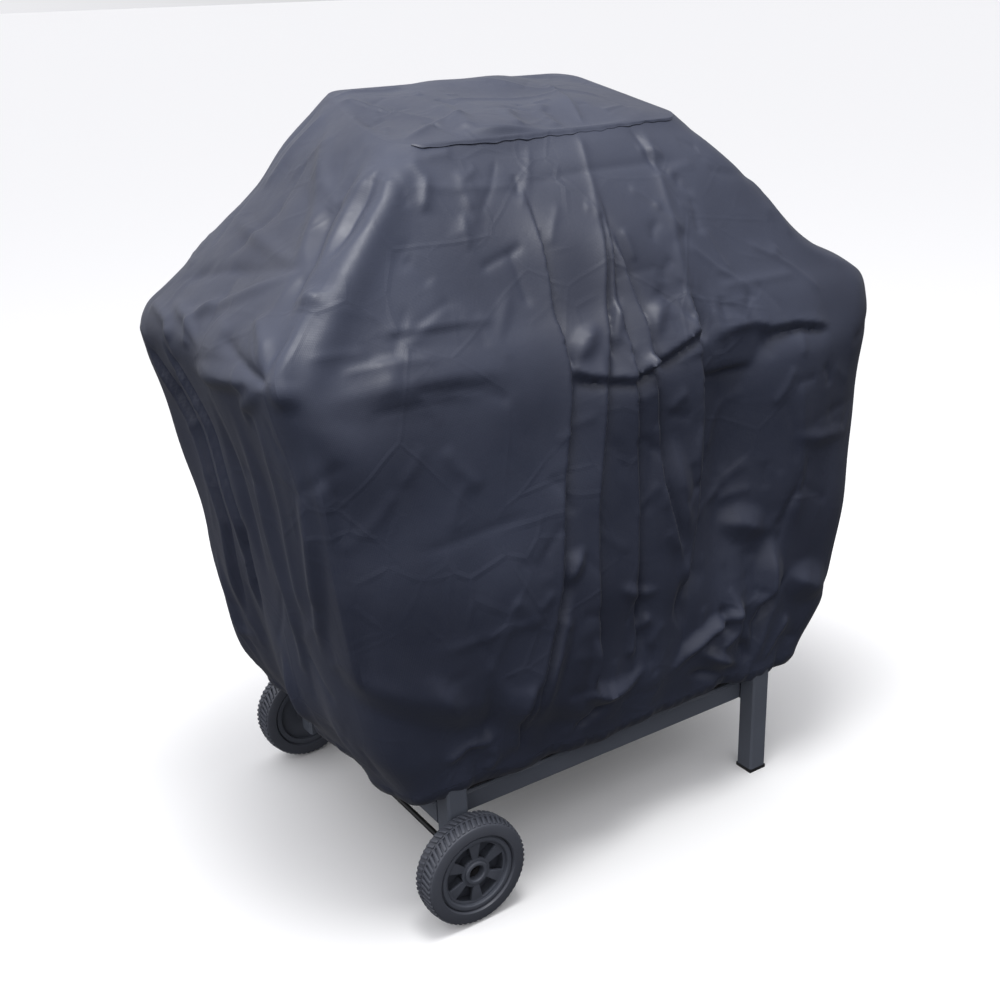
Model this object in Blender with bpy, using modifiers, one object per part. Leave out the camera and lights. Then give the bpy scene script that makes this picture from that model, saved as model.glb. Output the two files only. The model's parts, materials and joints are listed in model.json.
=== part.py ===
"""A trolley grill under its fitted fabric cover, modelled piece by piece.

Frame: the origin is on the floor at the middle of the whole object, +X to the right,
+Y to the back, +Z up, in metres. The wheels stand at the -X end.
"""

import math

import bmesh
import bpy
from mathutils import Matrix, Vector

# Stock and fits
GAP = 0.0003              # between pieces that touch
TUBE = 0.032              # square frame tube, outside
TUBE_WALL = 0.0015
TUBE_CORNER = 0.003
SHEET = 0.0015            # pressed steel
ROUND_STEPS = 40          # facets round a wheel

# Cart frame
CART_WIDTH = 0.585        # over the legs, along X
CART_DEPTH = 0.464        # over the legs, along Y
LEG_TOP = 0.722
WHEEL_LEG_FOOT = 0.060    # the wheel end's legs stop just under the axle
FOOT_CAP = 0.006
LOW_RAIL = 0.121          # underside of the lower rails
HIGH_RAIL = 0.688         # underside of the upper rails

# Wheels and axle
WHEEL_RADIUS = 0.078
WHEEL_WIDTH = 0.040
WHEEL_INNER_FACE = 0.236  # distance of a wheel's inner face from the middle plane
RIM_RADIUS = 0.055
AXLE_RADIUS = 0.004
SPOKES = 6

# Firebox, grates and lid
BOX_HALF_WIDTH = 0.245
BOX_FRONT, BOX_BACK = -0.150, 0.196
BOX_FLOOR, BOX_RIM = 0.610, 0.800
COAL_GRATE_Z, COOKING_GRATE_Z = 0.655, 0.782
LID_HALF_WIDTH = 0.248
LID_FOOT = BOX_RIM + 0.001                # leaves room for its leaning walls' lower edge
LID_TOP = 1.020                           # at the back
LID_FRONT_TOP_Y, LID_FRONT_TOP_Z = -0.028, 0.980
HINGE_X = 0.150
VENT_Y, VENT_Z = 0.025, 0.655
VENT_RADIUS = 0.028

# Side shelves
SLAT_WIDTH, SLAT_PITCH, SLAT_COUNT = 0.078, 0.083, 2
SLAT_THICK = 0.018
SLAT_FRONT, SLAT_BACK = -0.200, 0.212
ARM_Y = 0.140
ARM_WIDTH, ARM_HEIGHT = 0.025, 0.022
ARM_LENGTH = 0.165

# Cover
CLOTH = 0.0012
SEAM = 0.0015             # gap between two panels' edges
HEM_LOW, HEM_HIGH = 0.163, 0.187
HEM_THICK = 0.003
TOP_RISE = 0.180          # how fast the top panel climbs towards the back
TOP_CROWN = 0.006
# Level sections of the cover: height, left, right, front, back, front corner radius,
# back corner radius. Vertical skirt below the shoulder, a hipped slope above it.
COVER_SECTIONS = (
    (HEM_HIGH + 0.001, -0.354, 0.362, -0.240, 0.239, 0.060, 0.060),
    (0.285, -0.398, 0.412, -0.245, 0.242, 0.080, 0.070),
    (0.420, -0.428, 0.446, -0.248, 0.243, 0.090, 0.070),
    (0.600, -0.462, 0.474, -0.247, 0.243, 0.090, 0.060),
    (0.700, -0.481, 0.490, -0.243, 0.242, 0.070, 0.050),
    (0.765, -0.490, 0.484, -0.230, 0.240, 0.045, 0.045),
    (0.803, -0.472, 0.445, -0.208, 0.238, 0.040, 0.045),
    (0.880, -0.372, 0.356, -0.150, 0.232, 0.040, 0.045),
    (0.960, -0.272, 0.274, -0.088, 0.226, 0.040, 0.045),
    (0.994, -0.219, 0.228, -0.052, 0.224, 0.040, 0.040),
)


# ---- scene and materials

def clear_scene():
    for old in list(bpy.data.objects):
        bpy.data.objects.remove(old, do_unlink=True)


def new_collection(name):
    made = bpy.data.collections.new(name)
    bpy.context.scene.collection.children.link(made)
    return made


def material(name, color, roughness, metallic=0.0):
    made = bpy.data.materials.new(name)
    made.use_nodes = True
    shader = made.node_tree.nodes["Principled BSDF"]
    shader.inputs["Base Color"].default_value = (*color, 1.0)
    shader.inputs["Roughness"].default_value = roughness
    shader.inputs["Metallic"].default_value = metallic
    return made


clear_scene()
PARTS = new_collection("covered_grill")
CUTTERS = new_collection("cutters")

CLOTH_MAT = material("coated_polyester", (0.045, 0.048, 0.060), 0.45)
TUBE_MAT = material("painted_tube", (0.040, 0.045, 0.055), 0.40, 0.2)
SHEET_MAT = material("enamelled_sheet", (0.030, 0.030, 0.032), 0.30, 0.1)
STEEL_MAT = material("plated_steel", (0.55, 0.55, 0.56), 0.30, 1.0)
RIM_MAT = material("wheel_plastic", (0.050, 0.053, 0.064), 0.42)
TYRE_MAT = material("tyre_plastic", (0.030, 0.032, 0.036), 0.60)
CAP_MAT = material("foot_plastic", (0.020, 0.020, 0.022), 0.55)
WOOD_MAT = material("oiled_slat", (0.32, 0.18, 0.09), 0.55)
DIAL_MAT = material("thermometer_face", (0.75, 0.75, 0.72), 0.35)


# ---- building blocks

def node(name, mesh, mat, location=(0, 0, 0), rotation=(0, 0, 0), parent=None):
    made = bpy.data.objects.new(name, mesh)
    made.location = location
    made.rotation_euler = rotation
    if mat is None:
        made.hide_render = True
        made.display_type = "WIRE"
        CUTTERS.objects.link(made)
    else:
        mesh.materials.append(mat)
        PARTS.objects.link(made)
    if parent is not None:
        made.parent = parent
        made.matrix_parent_inverse = Matrix.Translation(-Vector(parent.location))
    return made


def mesh_from(bm, name):
    mesh = bpy.data.meshes.new(name)
    bm.to_mesh(mesh)
    bm.free()
    return mesh


def box_bmesh(size):
    bm = bmesh.new()
    bmesh.ops.create_cube(bm, size=1.0)
    bmesh.ops.scale(bm, vec=size, verts=bm.verts)
    return bm


def middle_and_size(low, high):
    low, high = Vector(low), Vector(high)
    return (low + high) / 2, high - low


def bevel(obj, width, segments=1):
    mod = obj.modifiers.new("Bevel", "BEVEL")
    mod.width = width
    mod.segments = segments
    mod.limit_method = "ANGLE"


def solidify(obj, thickness, offset=-1.0):
    mod = obj.modifiers.new("Solidify", "SOLIDIFY")
    mod.thickness = thickness
    mod.offset = offset
    mod.use_even_offset = True


def subtract(obj, cutter):
    mod = obj.modifiers.new("Cut", "BOOLEAN")
    mod.operation = "DIFFERENCE"
    mod.solver = "EXACT"
    mod.object = cutter


def block(name, low, high, mat, edge=0.0, parent=None):
    middle, size = middle_and_size(low, high)
    made = node(name, mesh_from(box_bmesh(size), name), mat, middle, parent=parent)
    if edge:
        bevel(made, edge)
    return made


def square_tube(name, low, high, along, mat=TUBE_MAT):
    """A hollow tube with open ends: four walls, rounded corners, then thickness."""
    middle, size = middle_and_size(low, high)
    bm = box_bmesh(size)
    ends = [f for f in bm.faces if abs(f.normal["XYZ".index(along)]) > 0.5]
    bmesh.ops.delete(bm, geom=ends, context="FACES_ONLY")
    made = node(name, mesh_from(bm, name), mat, middle)
    bevel(made, TUBE_CORNER)
    solidify(made, TUBE_WALL)
    return made


TURNS = {"X": (0, math.pi / 2, 0), "Y": (-math.pi / 2, 0, 0), "Z": (0, 0, 0)}


def cylinder(name, radius, length, middle, along, mat, steps=24, parent=None):
    bm = bmesh.new()
    bmesh.ops.create_cone(bm, cap_ends=True, segments=steps, radius1=radius,
                          radius2=radius, depth=length)
    made = node(name, mesh_from(bm, name), mat, middle, TURNS[along], parent)
    return made


def turned(name, profile, middle, rotation, mat, steps, parent=None):
    """A closed profile of (radius, height) points spun about the local Z axis."""
    mesh = bpy.data.meshes.new(name)
    count = len(profile)
    points = [(radius, 0, height) for radius, height in profile]
    mesh.from_pydata(points, [(i, (i + 1) % count) for i in range(count)], [])
    made = node(name, mesh, mat, middle, rotation, parent)
    mod = made.modifiers.new("Screw", "SCREW")
    mod.axis = "Z"
    mod.steps = mod.render_steps = steps
    mod.use_merge_vertices = False
    return made


def close_turned(obj, steps):
    """Spins a profile that starts and ends on the axis into a solid of revolution."""
    mod = obj.modifiers.new("Screw", "SCREW")
    mod.axis = "Z"
    mod.steps = mod.render_steps = steps
    mod.use_merge_vertices = True
    mod.merge_threshold = 0.00005


def ring(name, inner, outer, thick, middle, along, mat, steps=24, parent=None):
    half = thick / 2
    profile = ((outer, half), (outer, -half), (inner, -half), (inner, half))
    return turned(name, profile, middle, TURNS[along], mat, steps, parent)


# ---- cart frame

def leg(name, side_x, side_y, foot):
    outer_x, outer_y = side_x * CART_WIDTH / 2, side_y * CART_DEPTH / 2
    inner_x, inner_y = outer_x - side_x * TUBE, outer_y - side_y * TUBE
    low = (min(outer_x, inner_x), min(outer_y, inner_y), foot)
    high = (max(outer_x, inner_x), max(outer_y, inner_y), LEG_TOP)
    return square_tube(name, low, high, "Z")


def foot_cap(name, side_y):
    """A plastic cap: a plate under the tube and a plug inside it."""
    middle_x = CART_WIDTH / 2 - TUBE / 2
    middle_y = side_y * (CART_DEPTH / 2 - TUBE / 2)
    plate = FOOT_CAP - GAP
    bm = box_bmesh((TUBE, TUBE, plate))
    top = [f for f in bm.faces if f.normal.z > 0.5]
    bmesh.ops.inset_region(bm, faces=top, thickness=TUBE_WALL + TUBE_CORNER)
    plug = bmesh.ops.extrude_face_region(bm, geom=top)["geom"]
    bmesh.ops.delete(bm, geom=top, context="FACES_ONLY")
    raised = [v for v in plug if isinstance(v, bmesh.types.BMVert)]
    bmesh.ops.translate(bm, verts=raised, vec=(0, 0, 0.012))
    node(name, mesh_from(bm, name), CAP_MAT, (middle_x, middle_y, plate / 2))


def frame():
    """Two side frames joined by long rails: the low ones stand behind the legs' inner
    faces, and the high ones between the legs, flush with them."""
    wheel_legs = [leg("leg_front_left", -1, -1, WHEEL_LEG_FOOT),
                  leg("leg_back_left", -1, 1, WHEEL_LEG_FOOT)]
    leg("leg_front_right", 1, -1, FOOT_CAP)
    leg("leg_back_right", 1, 1, FOOT_CAP)
    foot_cap("foot_cap_front", -1)
    foot_cap("foot_cap_back", 1)
    half_x, half_y = CART_WIDTH / 2, CART_DEPTH / 2 - TUBE
    inner_x = half_x - TUBE
    for level, floor in (("low", LOW_RAIL), ("high", HIGH_RAIL)):
        for side, sign in (("left", -1), ("right", 1)):
            ends = sorted((sign * inner_x, sign * half_x))
            square_tube(f"{level}_rail_{side}", (ends[0], -half_y + GAP, floor),
                        (ends[1], half_y - GAP, floor + TUBE), "Y")
        for side, sign in (("front", -1), ("back", 1)):
            face = half_y if level == "low" else half_y + TUBE
            faces = sorted((sign * face, sign * (face - TUBE)))
            square_tube(f"{level}_rail_{side}", (-inner_x + GAP, faces[0], floor),
                        (inner_x - GAP, faces[1], floor + TUBE), "X")
    axle_holes(wheel_legs)
    bottom_shelf()


def bottom_shelf():
    """A pressed tray lying on the lower rails, its edges turned down outside them."""
    half_x, half_y = CART_WIDTH / 2 - 0.006, CART_DEPTH / 2 - TUBE - 0.004
    low = LOW_RAIL + TUBE + GAP
    block("bottom_shelf", (-half_x, -half_y, low), (half_x, half_y, low + 0.004),
          SHEET_MAT, 0.001)


# ---- wheels

AXLE_X = -CART_WIDTH / 2 + TUBE / 2
WHEEL_SIDES = (("front", -1), ("back", 1))


def axle_holes(legs):
    cutter = cylinder("axle_hole_cutter", AXLE_RADIUS + GAP, CART_DEPTH + 0.02,
                      (AXLE_X, 0, WHEEL_RADIUS), "Y", None)
    for wheel_leg in legs:
        subtract(wheel_leg, cutter)


def axle():
    half = WHEEL_INNER_FACE + 0.030
    cylinder("axle", AXLE_RADIUS, 2 * half, (AXLE_X, 0, WHEEL_RADIUS), "Y", STEEL_MAT)
    for name, sign in WHEEL_SIDES:
        washer_y = sign * (CART_DEPTH / 2 + WHEEL_INNER_FACE) / 2
        ring(f"washer_{name}", AXLE_RADIUS + GAP, 0.010, 0.003,
             (AXLE_X, washer_y, WHEEL_RADIUS), "Y", STEEL_MAT)
        nut_y = sign * (WHEEL_INNER_FACE + 0.0255)
        ring(f"push_nut_{name}", AXLE_RADIUS + GAP, 0.009, 0.003,
             (AXLE_X, nut_y, WHEEL_RADIUS), "Y", STEEL_MAT)


def window_cutter(pivot, face_turn, name):
    """Six wedges that open the rim's web between the spokes."""
    bm = bmesh.new()
    inner, outer, spoke = 0.0215, 0.0445, 0.0052
    for k in range(SPOKES):
        turn = Matrix.Rotation(2 * math.pi * (k + 0.5) / SPOKES, 4, "Z")
        spread = math.pi / SPOKES
        corners = []
        for radius in (inner, outer):
            reach = spread - math.asin(spoke / radius)
            corners.append((radius, reach))
        outline = [(corners[0][0], -corners[0][1]), (corners[1][0], -corners[1][1]),
                   (corners[1][0], 0), (corners[1][0], corners[1][1]),
                   (corners[0][0], corners[0][1])]
        floor = [bm.verts.new(turn @ Vector((r * math.cos(a), r * math.sin(a), -0.02)))
                 for r, a in outline]
        wedge = bm.faces.new(floor)
        lifted = bmesh.ops.extrude_face_region(bm, geom=[wedge])["geom"]
        bmesh.ops.translate(bm, vec=(0, 0, 0.04),
                            verts=[v for v in lifted if isinstance(v, bmesh.types.BMVert)])
    bmesh.ops.recalc_face_normals(bm, faces=bm.faces)
    return node(name, mesh_from(bm, name), None, pivot.location, face_turn)


def wheel(name, sign):
    """Rim and tyre of one wheel; local +Z points out of the cart along the axle."""
    middle = Vector((AXLE_X, sign * (WHEEL_INNER_FACE + WHEEL_WIDTH / 2), WHEEL_RADIUS))
    pivot = bpy.data.objects.new(f"wheel_{name}_pivot", None)
    pivot.location = middle
    PARTS.objects.link(pivot)
    outward = (-sign * math.pi / 2, 0, 0)
    face, web = WHEEL_WIDTH / 2 - 0.0015, 0.003
    barrel, hub, recess = RIM_RADIUS - 0.0075, 0.0175, 0.0115
    rim_profile = (
        (RIM_RADIUS - GAP, face), (RIM_RADIUS - GAP, -face), (barrel, -face),
        (barrel, -web), (hub, -web), (hub, -face), (AXLE_RADIUS + GAP, -face),
        (AXLE_RADIUS + GAP, 0.003), (recess, 0.003), (recess, 0.014), (hub, 0.014),
        (hub, web), (barrel, web), (barrel, face))
    rim = turned(f"wheel_rim_{name}", rim_profile, middle, outward, RIM_MAT,
                 ROUND_STEPS, pivot)
    subtract(rim, window_cutter(pivot, outward, f"window_cutter_{name}"))
    half, shoulder = WHEEL_WIDTH / 2, 0.005
    tyre_profile = (
        (WHEEL_RADIUS - shoulder, half), (WHEEL_RADIUS - 0.0015, half - 0.0015),
        (WHEEL_RADIUS, half - shoulder), (WHEEL_RADIUS, -half + shoulder),
        (WHEEL_RADIUS - 0.0015, -half + 0.0015), (WHEEL_RADIUS - shoulder, -half),
        (RIM_RADIUS, -half), (RIM_RADIUS, half))
    turned(f"wheel_tyre_{name}", tyre_profile, middle, outward, TYRE_MAT,
           ROUND_STEPS, pivot)


def wheels():
    axle()
    for name, sign in WHEEL_SIDES:
        wheel(name, sign)


# ---- firebox, grates and lid

def firebox():
    """A pressed trough: open on top, its front and back walls leaning in downwards."""
    low = (-BOX_HALF_WIDTH, BOX_FRONT, BOX_FLOOR)
    high = (BOX_HALF_WIDTH, BOX_BACK, BOX_RIM - GAP)
    middle, size = middle_and_size(low, high)
    bm = box_bmesh(size)
    bmesh.ops.delete(bm, geom=[f for f in bm.faces if f.normal.z > 0.5],
                     context="FACES_ONLY")
    for vert in bm.verts:
        if vert.co.z < 0:
            vert.co.y *= 0.72
    made = node("firebox", mesh_from(bm, "firebox"), SHEET_MAT, middle)
    solidify(made, SHEET)
    for side, sign in (("left", -1), ("right", 1)):
        pivot = bpy.data.objects.new(f"vent_{side}_pivot", None)
        pivot.location = (sign * (BOX_HALF_WIDTH + 0.0015), VENT_Y, VENT_Z)
        PARTS.objects.link(pivot)
        wall_holes = vent_holes(f"wall_hole_cutter_{side}", pivot, 0.0)
        rivet_hole = cylinder(f"rivet_hole_cutter_{side}", 0.003 + GAP, 0.02,
                              pivot.location, "X", None, 16)
        subtract(made, wall_holes)
        subtract(made, rivet_hole)
        disc = cylinder(f"vent_disc_{side}", VENT_RADIUS, 0.002, pivot.location, "X",
                        SHEET_MAT, 32, pivot)
        subtract(disc, wall_holes)
        subtract(disc, rivet_hole)
        vent_rivet(side, sign)


def vent_holes(name, pivot, start):
    """Three round holes about the vent's pivot, as one cutter along X."""
    bm = bmesh.new()
    for k in range(3):
        angle = start + 2 * math.pi * k / 3
        put = Matrix.Translation((0, 0.016 * math.cos(angle), 0.016 * math.sin(angle)))
        bmesh.ops.create_cone(bm, cap_ends=True, segments=12, radius1=0.0055,
                              radius2=0.0055, depth=0.02,
                              matrix=put @ Matrix.Rotation(math.pi / 2, 4, "Y"))
    return node(name, mesh_from(bm, name), None, pivot.location)


def vent_rivet(side, sign):
    """A rivet with a head outside the disc, its shank through disc and wall."""
    head, shank, inside = 0.006, 0.003, 0.005
    profile = ((head, 0.0046), (head, 0.0030), (shank, 0.0030), (shank, -inside))
    mesh = bpy.data.meshes.new(f"vent_rivet_{side}")
    points = [(0, 0, 0.0046), *((r, 0, h) for r, h in profile), (0, 0, -inside)]
    mesh.from_pydata(points, [(i, i + 1) for i in range(len(points) - 1)], [])
    made = node(f"vent_rivet_{side}", mesh, STEEL_MAT,
                (sign * BOX_HALF_WIDTH, VENT_Y, VENT_Z), (0, sign * math.pi / 2, 0))
    close_turned(made, 16)


def grate(name, half_x, front, back, z, bars, wire):
    """A bar grate in one piece: long cells across the firebox, thickened edges."""
    bm = bmesh.new()
    bmesh.ops.create_grid(bm, x_segments=bars, y_segments=2, size=0.5)
    bmesh.ops.scale(bm, vec=(2 * half_x, back - front, 1), verts=bm.verts)
    made = node(name, mesh_from(bm, name), STEEL_MAT, (0, (front + back) / 2, z))
    mod = made.modifiers.new("Wireframe", "WIREFRAME")
    mod.thickness = wire
    mod.use_boundary = True
    mod.use_even_offset = False


def hangers():
    """Angle plates that carry the firebox on the upper side rails."""
    for side, sign in (("left", -1), ("right", 1)):
        near, far = BOX_HALF_WIDTH + GAP, CART_WIDTH / 2 - 0.004
        xs = sorted((sign * near, sign * far))
        floor = HIGH_RAIL + TUBE + GAP
        block(f"box_hanger_{side}", (xs[0], -0.110, floor), (xs[1], 0.160, floor + 0.003),
              SHEET_MAT)


def lid():
    """A deep pressed hood with rounded shoulders, open underneath."""
    low = Vector((-LID_HALF_WIDTH, LID_FOOT_Y, LID_FOOT))
    high = Vector((LID_HALF_WIDTH, BOX_BACK + 0.003, LID_TOP))
    middle, size = middle_and_size(low, high)
    bm = box_bmesh(size)
    bmesh.ops.delete(bm, geom=[f for f in bm.faces if f.normal.z < -0.5],
                     context="FACES_ONLY")
    for vert in bm.verts:
        if vert.co.z > 0:
            vert.co.x *= 0.80
            vert.co.y *= 0.94
            if vert.co.y < 0:
                vert.co.y = LID_FRONT_TOP_Y - middle.y
                vert.co.z = LID_FRONT_TOP_Z - middle.z
    slanted = [e for e in bm.edges if not e.is_boundary]
    bmesh.ops.bevel(bm, geom=slanted, offset=0.045, segments=4, profile=0.5,
                    affect="EDGES", clamp_overlap=True)
    made = node("lid", mesh_from(bm, "lid"), SHEET_MAT, middle)
    solidify(made, SHEET)
    lid_front_furniture()
    for side, sign in (("left", -1), ("right", 1)):
        lid_hinge(side, sign * HINGE_X)


LID_FOOT_Y = BOX_FRONT - 0.003
LID_LEAN = math.atan2(LID_FRONT_TOP_Y - LID_FOOT_Y, LID_FRONT_TOP_Z - LID_FOOT)


def on_lid_front(x, height, out):
    """A point this far in front of the lid's flat front face."""
    base = Vector((x, LID_FOOT_Y + height * math.tan(LID_LEAN), LID_FOOT + height))
    return base + Vector((0, -math.cos(LID_LEAN), math.sin(LID_LEAN))) * out


def lid_front_furniture():
    lean = (math.pi / 2 - LID_LEAN, 0, 0)
    height = 0.052
    for side, x in (("left", -0.090), ("right", 0.090)):
        bm = bmesh.new()
        bmesh.ops.create_cone(bm, cap_ends=True, segments=16, radius1=0.006,
                              radius2=0.006, depth=0.020)
        node(f"handle_post_{side}", mesh_from(bm, "handle_post"), STEEL_MAT,
             on_lid_front(x, height, 0.010 + 2 * GAP), lean)
    cylinder("lid_handle", 0.0075, 0.240, on_lid_front(0, height, 0.0290), "X", WOOD_MAT)
    profile = ((0.026, 0.007), (0.026, 0), (0, 0))
    mesh = bpy.data.meshes.new("thermometer")
    outline = ((0, 0.005), (0.022, 0.005), (0.022, 0.007), *profile)
    mesh.from_pydata([(r, 0, h) for r, h in outline],
                     [(i, i + 1) for i in range(len(outline) - 1)], [])
    made = node("thermometer", mesh, DIAL_MAT, on_lid_front(0, 0.120, 2 * GAP), lean)
    close_turned(made, 32)


def lid_hinge(side, x):
    """A folded ear on the firebox, one on the lid beside it, and the pin through both."""
    back = BOX_BACK + 0.0035
    pin_y, pin_z = back + 0.009, BOX_RIM - 0.002
    hole = cylinder(f"hinge_hole_cutter_{side}", 0.0025 + GAP, 0.05,
                    (x, pin_y, pin_z), "X", None, 16)
    box_ear = block(f"hinge_ear_box_{side}", (x - 0.0125, BOX_BACK + GAP, pin_z - 0.020),
                    (x - GAP / 2, pin_y + 0.006, pin_z + 0.001), STEEL_MAT)
    lid_ear = block(f"hinge_ear_lid_{side}", (x + GAP / 2, back, pin_z - 0.006),
                    (x + 0.0125, pin_y + 0.006, pin_z + 0.020), STEEL_MAT)
    for ear in (box_ear, lid_ear):
        subtract(ear, hole)
    cylinder(f"hinge_pin_{side}", 0.0025, 0.030, (x, pin_y, pin_z), "X", STEEL_MAT, 16)


# ---- side shelves

def side_shelf(side, sign):
    start = CART_WIDTH / 2 + GAP
    slat_floor = HIGH_RAIL + TUBE + 0.0235
    for name, y in (("front", -ARM_Y), ("back", ARM_Y)):
        xs = sorted((sign * start, sign * (start + ARM_LENGTH)))
        block(f"shelf_arm_{side}_{name}",
              (xs[0], y - ARM_WIDTH / 2, slat_floor - GAP - ARM_HEIGHT),
              (xs[1], y + ARM_WIDTH / 2, slat_floor - GAP), TUBE_MAT, 0.0015)
    for k in range(SLAT_COUNT):
        near = start + 0.004 + k * SLAT_PITCH
        xs = sorted((sign * near, sign * (near + SLAT_WIDTH)))
        block(f"shelf_slat_{side}_{k + 1}", (xs[0], SLAT_FRONT, slat_floor),
              (xs[1], SLAT_BACK, slat_floor + SLAT_THICK), WOOD_MAT, 0.002)


# ---- cover

def corner_arc(section, corner, start, end, steps=3):
    """Points round part of one corner: 0 front right, 1 back right, 2 back left, 3 front left."""
    z, left, right, front, back, front_radius, back_radius = section
    radius = front_radius if corner in (0, 3) else back_radius
    middle_x = right - radius if corner in (0, 1) else left + radius
    middle_y = front + radius if corner in (0, 3) else back - radius
    first = math.radians((-90, 0, 90, 180)[corner])
    trim = SEAM / 2 / radius
    points = []
    for k in range(steps + 1):
        angle = first + max(trim, start) + (min(math.pi / 2 - trim, end) - max(trim, start)) * k / steps
        points.append(Vector((middle_x + radius * math.cos(angle),
                              middle_y + radius * math.sin(angle), z)))
    return points


def panel_row(section, side, straight):
    """One level of a panel, from the middle of one corner to the middle of the next."""
    before, after = (3, 0, 1, 2)[side], (0, 1, 2, 3)[side]
    half = math.pi / 4
    z, left, right, front, back, front_radius, back_radius = section
    trim_before = SEAM / 2 / (front_radius if before in (0, 3) else back_radius)
    trim_after = SEAM / 2 / (front_radius if after in (0, 3) else back_radius)
    first = corner_arc(section, before, half + trim_before, math.pi / 2)
    last = corner_arc(section, after, 0, half - trim_after)
    span = [first[-1].lerp(last[0], k / straight) for k in range(1, straight)]
    return first + span + last


def tilted(row, front):
    """The topmost row climbs towards the back with the top panel."""
    return [Vector((p.x, p.y, p.z + (p.y - front) * TOP_RISE)) for p in row]


def grid_mesh(name, rows, closed=False):
    bm = bmesh.new()
    verts = [[bm.verts.new(p) for p in row] for row in rows]
    count = len(rows[0])
    for low, high in zip(verts, verts[1:]):
        for k in range(count if closed else count - 1):
            after = (k + 1) % count
            bm.faces.new((low[k], low[after], high[after], high[k]))
    return bm


def cover_panel(name, side, straight):
    rows = [panel_row(section, side, straight) for section in COVER_SECTIONS[:-1]]
    top = COVER_SECTIONS[-1]
    drop = (top[0] - 0.0025, top[1] - 0.0025, top[2] + 0.0025, top[3] - 0.0025,
            top[4] + 0.0025, top[5], top[6])
    rows.append(tilted(panel_row(drop, side, straight), drop[3]))
    made = node(name, mesh_from(grid_mesh(name, rows), name), CLOTH_MAT)
    solidify(made, CLOTH)


def whole_row(section):
    quarter = math.pi / 2
    row = []
    for corner in range(4):
        row += corner_arc(section, corner, 0, quarter, 5)
    return row


def cover_top():
    section = COVER_SECTIONS[-1]
    outline = tilted(whole_row(section), section[3])
    middle = sum(outline, Vector()) / len(outline)
    rows = []
    for scale in (1.0, 0.85, 0.60, 0.30):
        lift = TOP_CROWN * (1 - scale ** 2)
        rows.append([middle.lerp(p, scale) + Vector((0, 0, lift)) for p in outline])
    bm = grid_mesh("cover_top_panel", rows, closed=True)
    bm.verts.ensure_lookup_table()
    inner = [bm.verts[len(outline) * (len(rows) - 1) + k] for k in range(len(outline))]
    crest = bm.verts.new(middle + Vector((0, 0, TOP_CROWN)))
    for k, vert in enumerate(inner):
        bm.faces.new((vert, inner[(k + 1) % len(inner)], crest))
    made = node("cover_top_panel", mesh_from(bm, "cover_top_panel"), CLOTH_MAT)
    solidify(made, CLOTH)


def cover_hem():
    base = COVER_SECTIONS[0]
    rows = [whole_row((z, *base[1:])) for z in (HEM_LOW, HEM_HIGH)]
    made = node("cover_hem", mesh_from(grid_mesh("cover_hem", rows, closed=True), "cover_hem"),
                CLOTH_MAT)
    solidify(made, HEM_THICK)


def cover():
    for side, (name, straight) in enumerate((("front", 6), ("right", 3), ("back", 6),
                                             ("left", 3))):
        cover_panel(f"cover_{name}_panel", side, straight)
    cover_top()
    cover_hem()


def build():
    frame()
    wheels()
    firebox()
    grate("coal_grate", 0.215, -0.085, 0.135, COAL_GRATE_Z, 10, 0.006)
    grate("cooking_grate", 0.238, -0.137, 0.183, COOKING_GRATE_Z, 18, 0.005)
    hangers()
    lid()
    side_shelf("left", -1)
    side_shelf("right", 1)
    cover()


build()
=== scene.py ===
import json
import math

import bpy
import numpy as np
from mathutils import Matrix, Vector


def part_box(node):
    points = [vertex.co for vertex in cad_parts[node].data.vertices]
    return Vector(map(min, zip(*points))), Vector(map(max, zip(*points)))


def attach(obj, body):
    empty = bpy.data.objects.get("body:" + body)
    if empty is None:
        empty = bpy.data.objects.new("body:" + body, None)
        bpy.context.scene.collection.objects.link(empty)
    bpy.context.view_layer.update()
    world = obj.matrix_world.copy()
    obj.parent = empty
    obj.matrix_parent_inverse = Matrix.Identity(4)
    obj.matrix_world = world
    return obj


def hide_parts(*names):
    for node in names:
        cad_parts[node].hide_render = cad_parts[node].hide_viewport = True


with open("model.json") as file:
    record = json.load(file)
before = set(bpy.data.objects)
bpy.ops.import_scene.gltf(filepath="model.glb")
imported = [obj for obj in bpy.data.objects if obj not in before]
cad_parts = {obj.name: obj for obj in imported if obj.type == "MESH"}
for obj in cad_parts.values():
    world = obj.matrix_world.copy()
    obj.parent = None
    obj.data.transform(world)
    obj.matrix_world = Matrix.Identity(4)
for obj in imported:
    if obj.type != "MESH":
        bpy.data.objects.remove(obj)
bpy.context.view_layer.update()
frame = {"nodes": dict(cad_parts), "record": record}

nodes = frame["nodes"]


def deselectAll():
    if bpy.context.mode != "OBJECT":
        bpy.ops.object.mode_set(mode="OBJECT")
    bpy.ops.object.select_all(action="DESELECT")


def makeActive(obj):
    deselectAll()
    obj.select_set(True)
    bpy.context.view_layer.objects.active = obj


def applyModifiers(obj):
    makeActive(obj)
    for mod in list(obj.modifiers):
        bpy.ops.object.modifier_apply(modifier=mod.name)


def settle(obj):
    # puts the object's place into its mesh
    makeActive(obj)
    bpy.ops.object.transform_apply(location=True, rotation=True, scale=True)


def smoothStep(t):
    t = np.clip(t, 0.0, 1.0)
    return t * t * (3 - 2 * t)


def newMaterial(name, color, roughness, metallic=0.0):
    made = bpy.data.materials.new(name)
    made.use_nodes = True
    shader = made.node_tree.nodes["Principled BSDF"]
    shader.inputs["Base Color"].default_value = (*color, 1)
    shader.inputs["Roughness"].default_value = roughness
    shader.inputs["Metallic"].default_value = metallic
    return made, made.node_tree, shader


def addNode(tree, kind, **settings):
    made = tree.nodes.new(kind)
    for key, value in settings.items():
        if key in made.inputs:
            made.inputs[key].default_value = value
        else:
            setattr(made, key, value)
    return made


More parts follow.
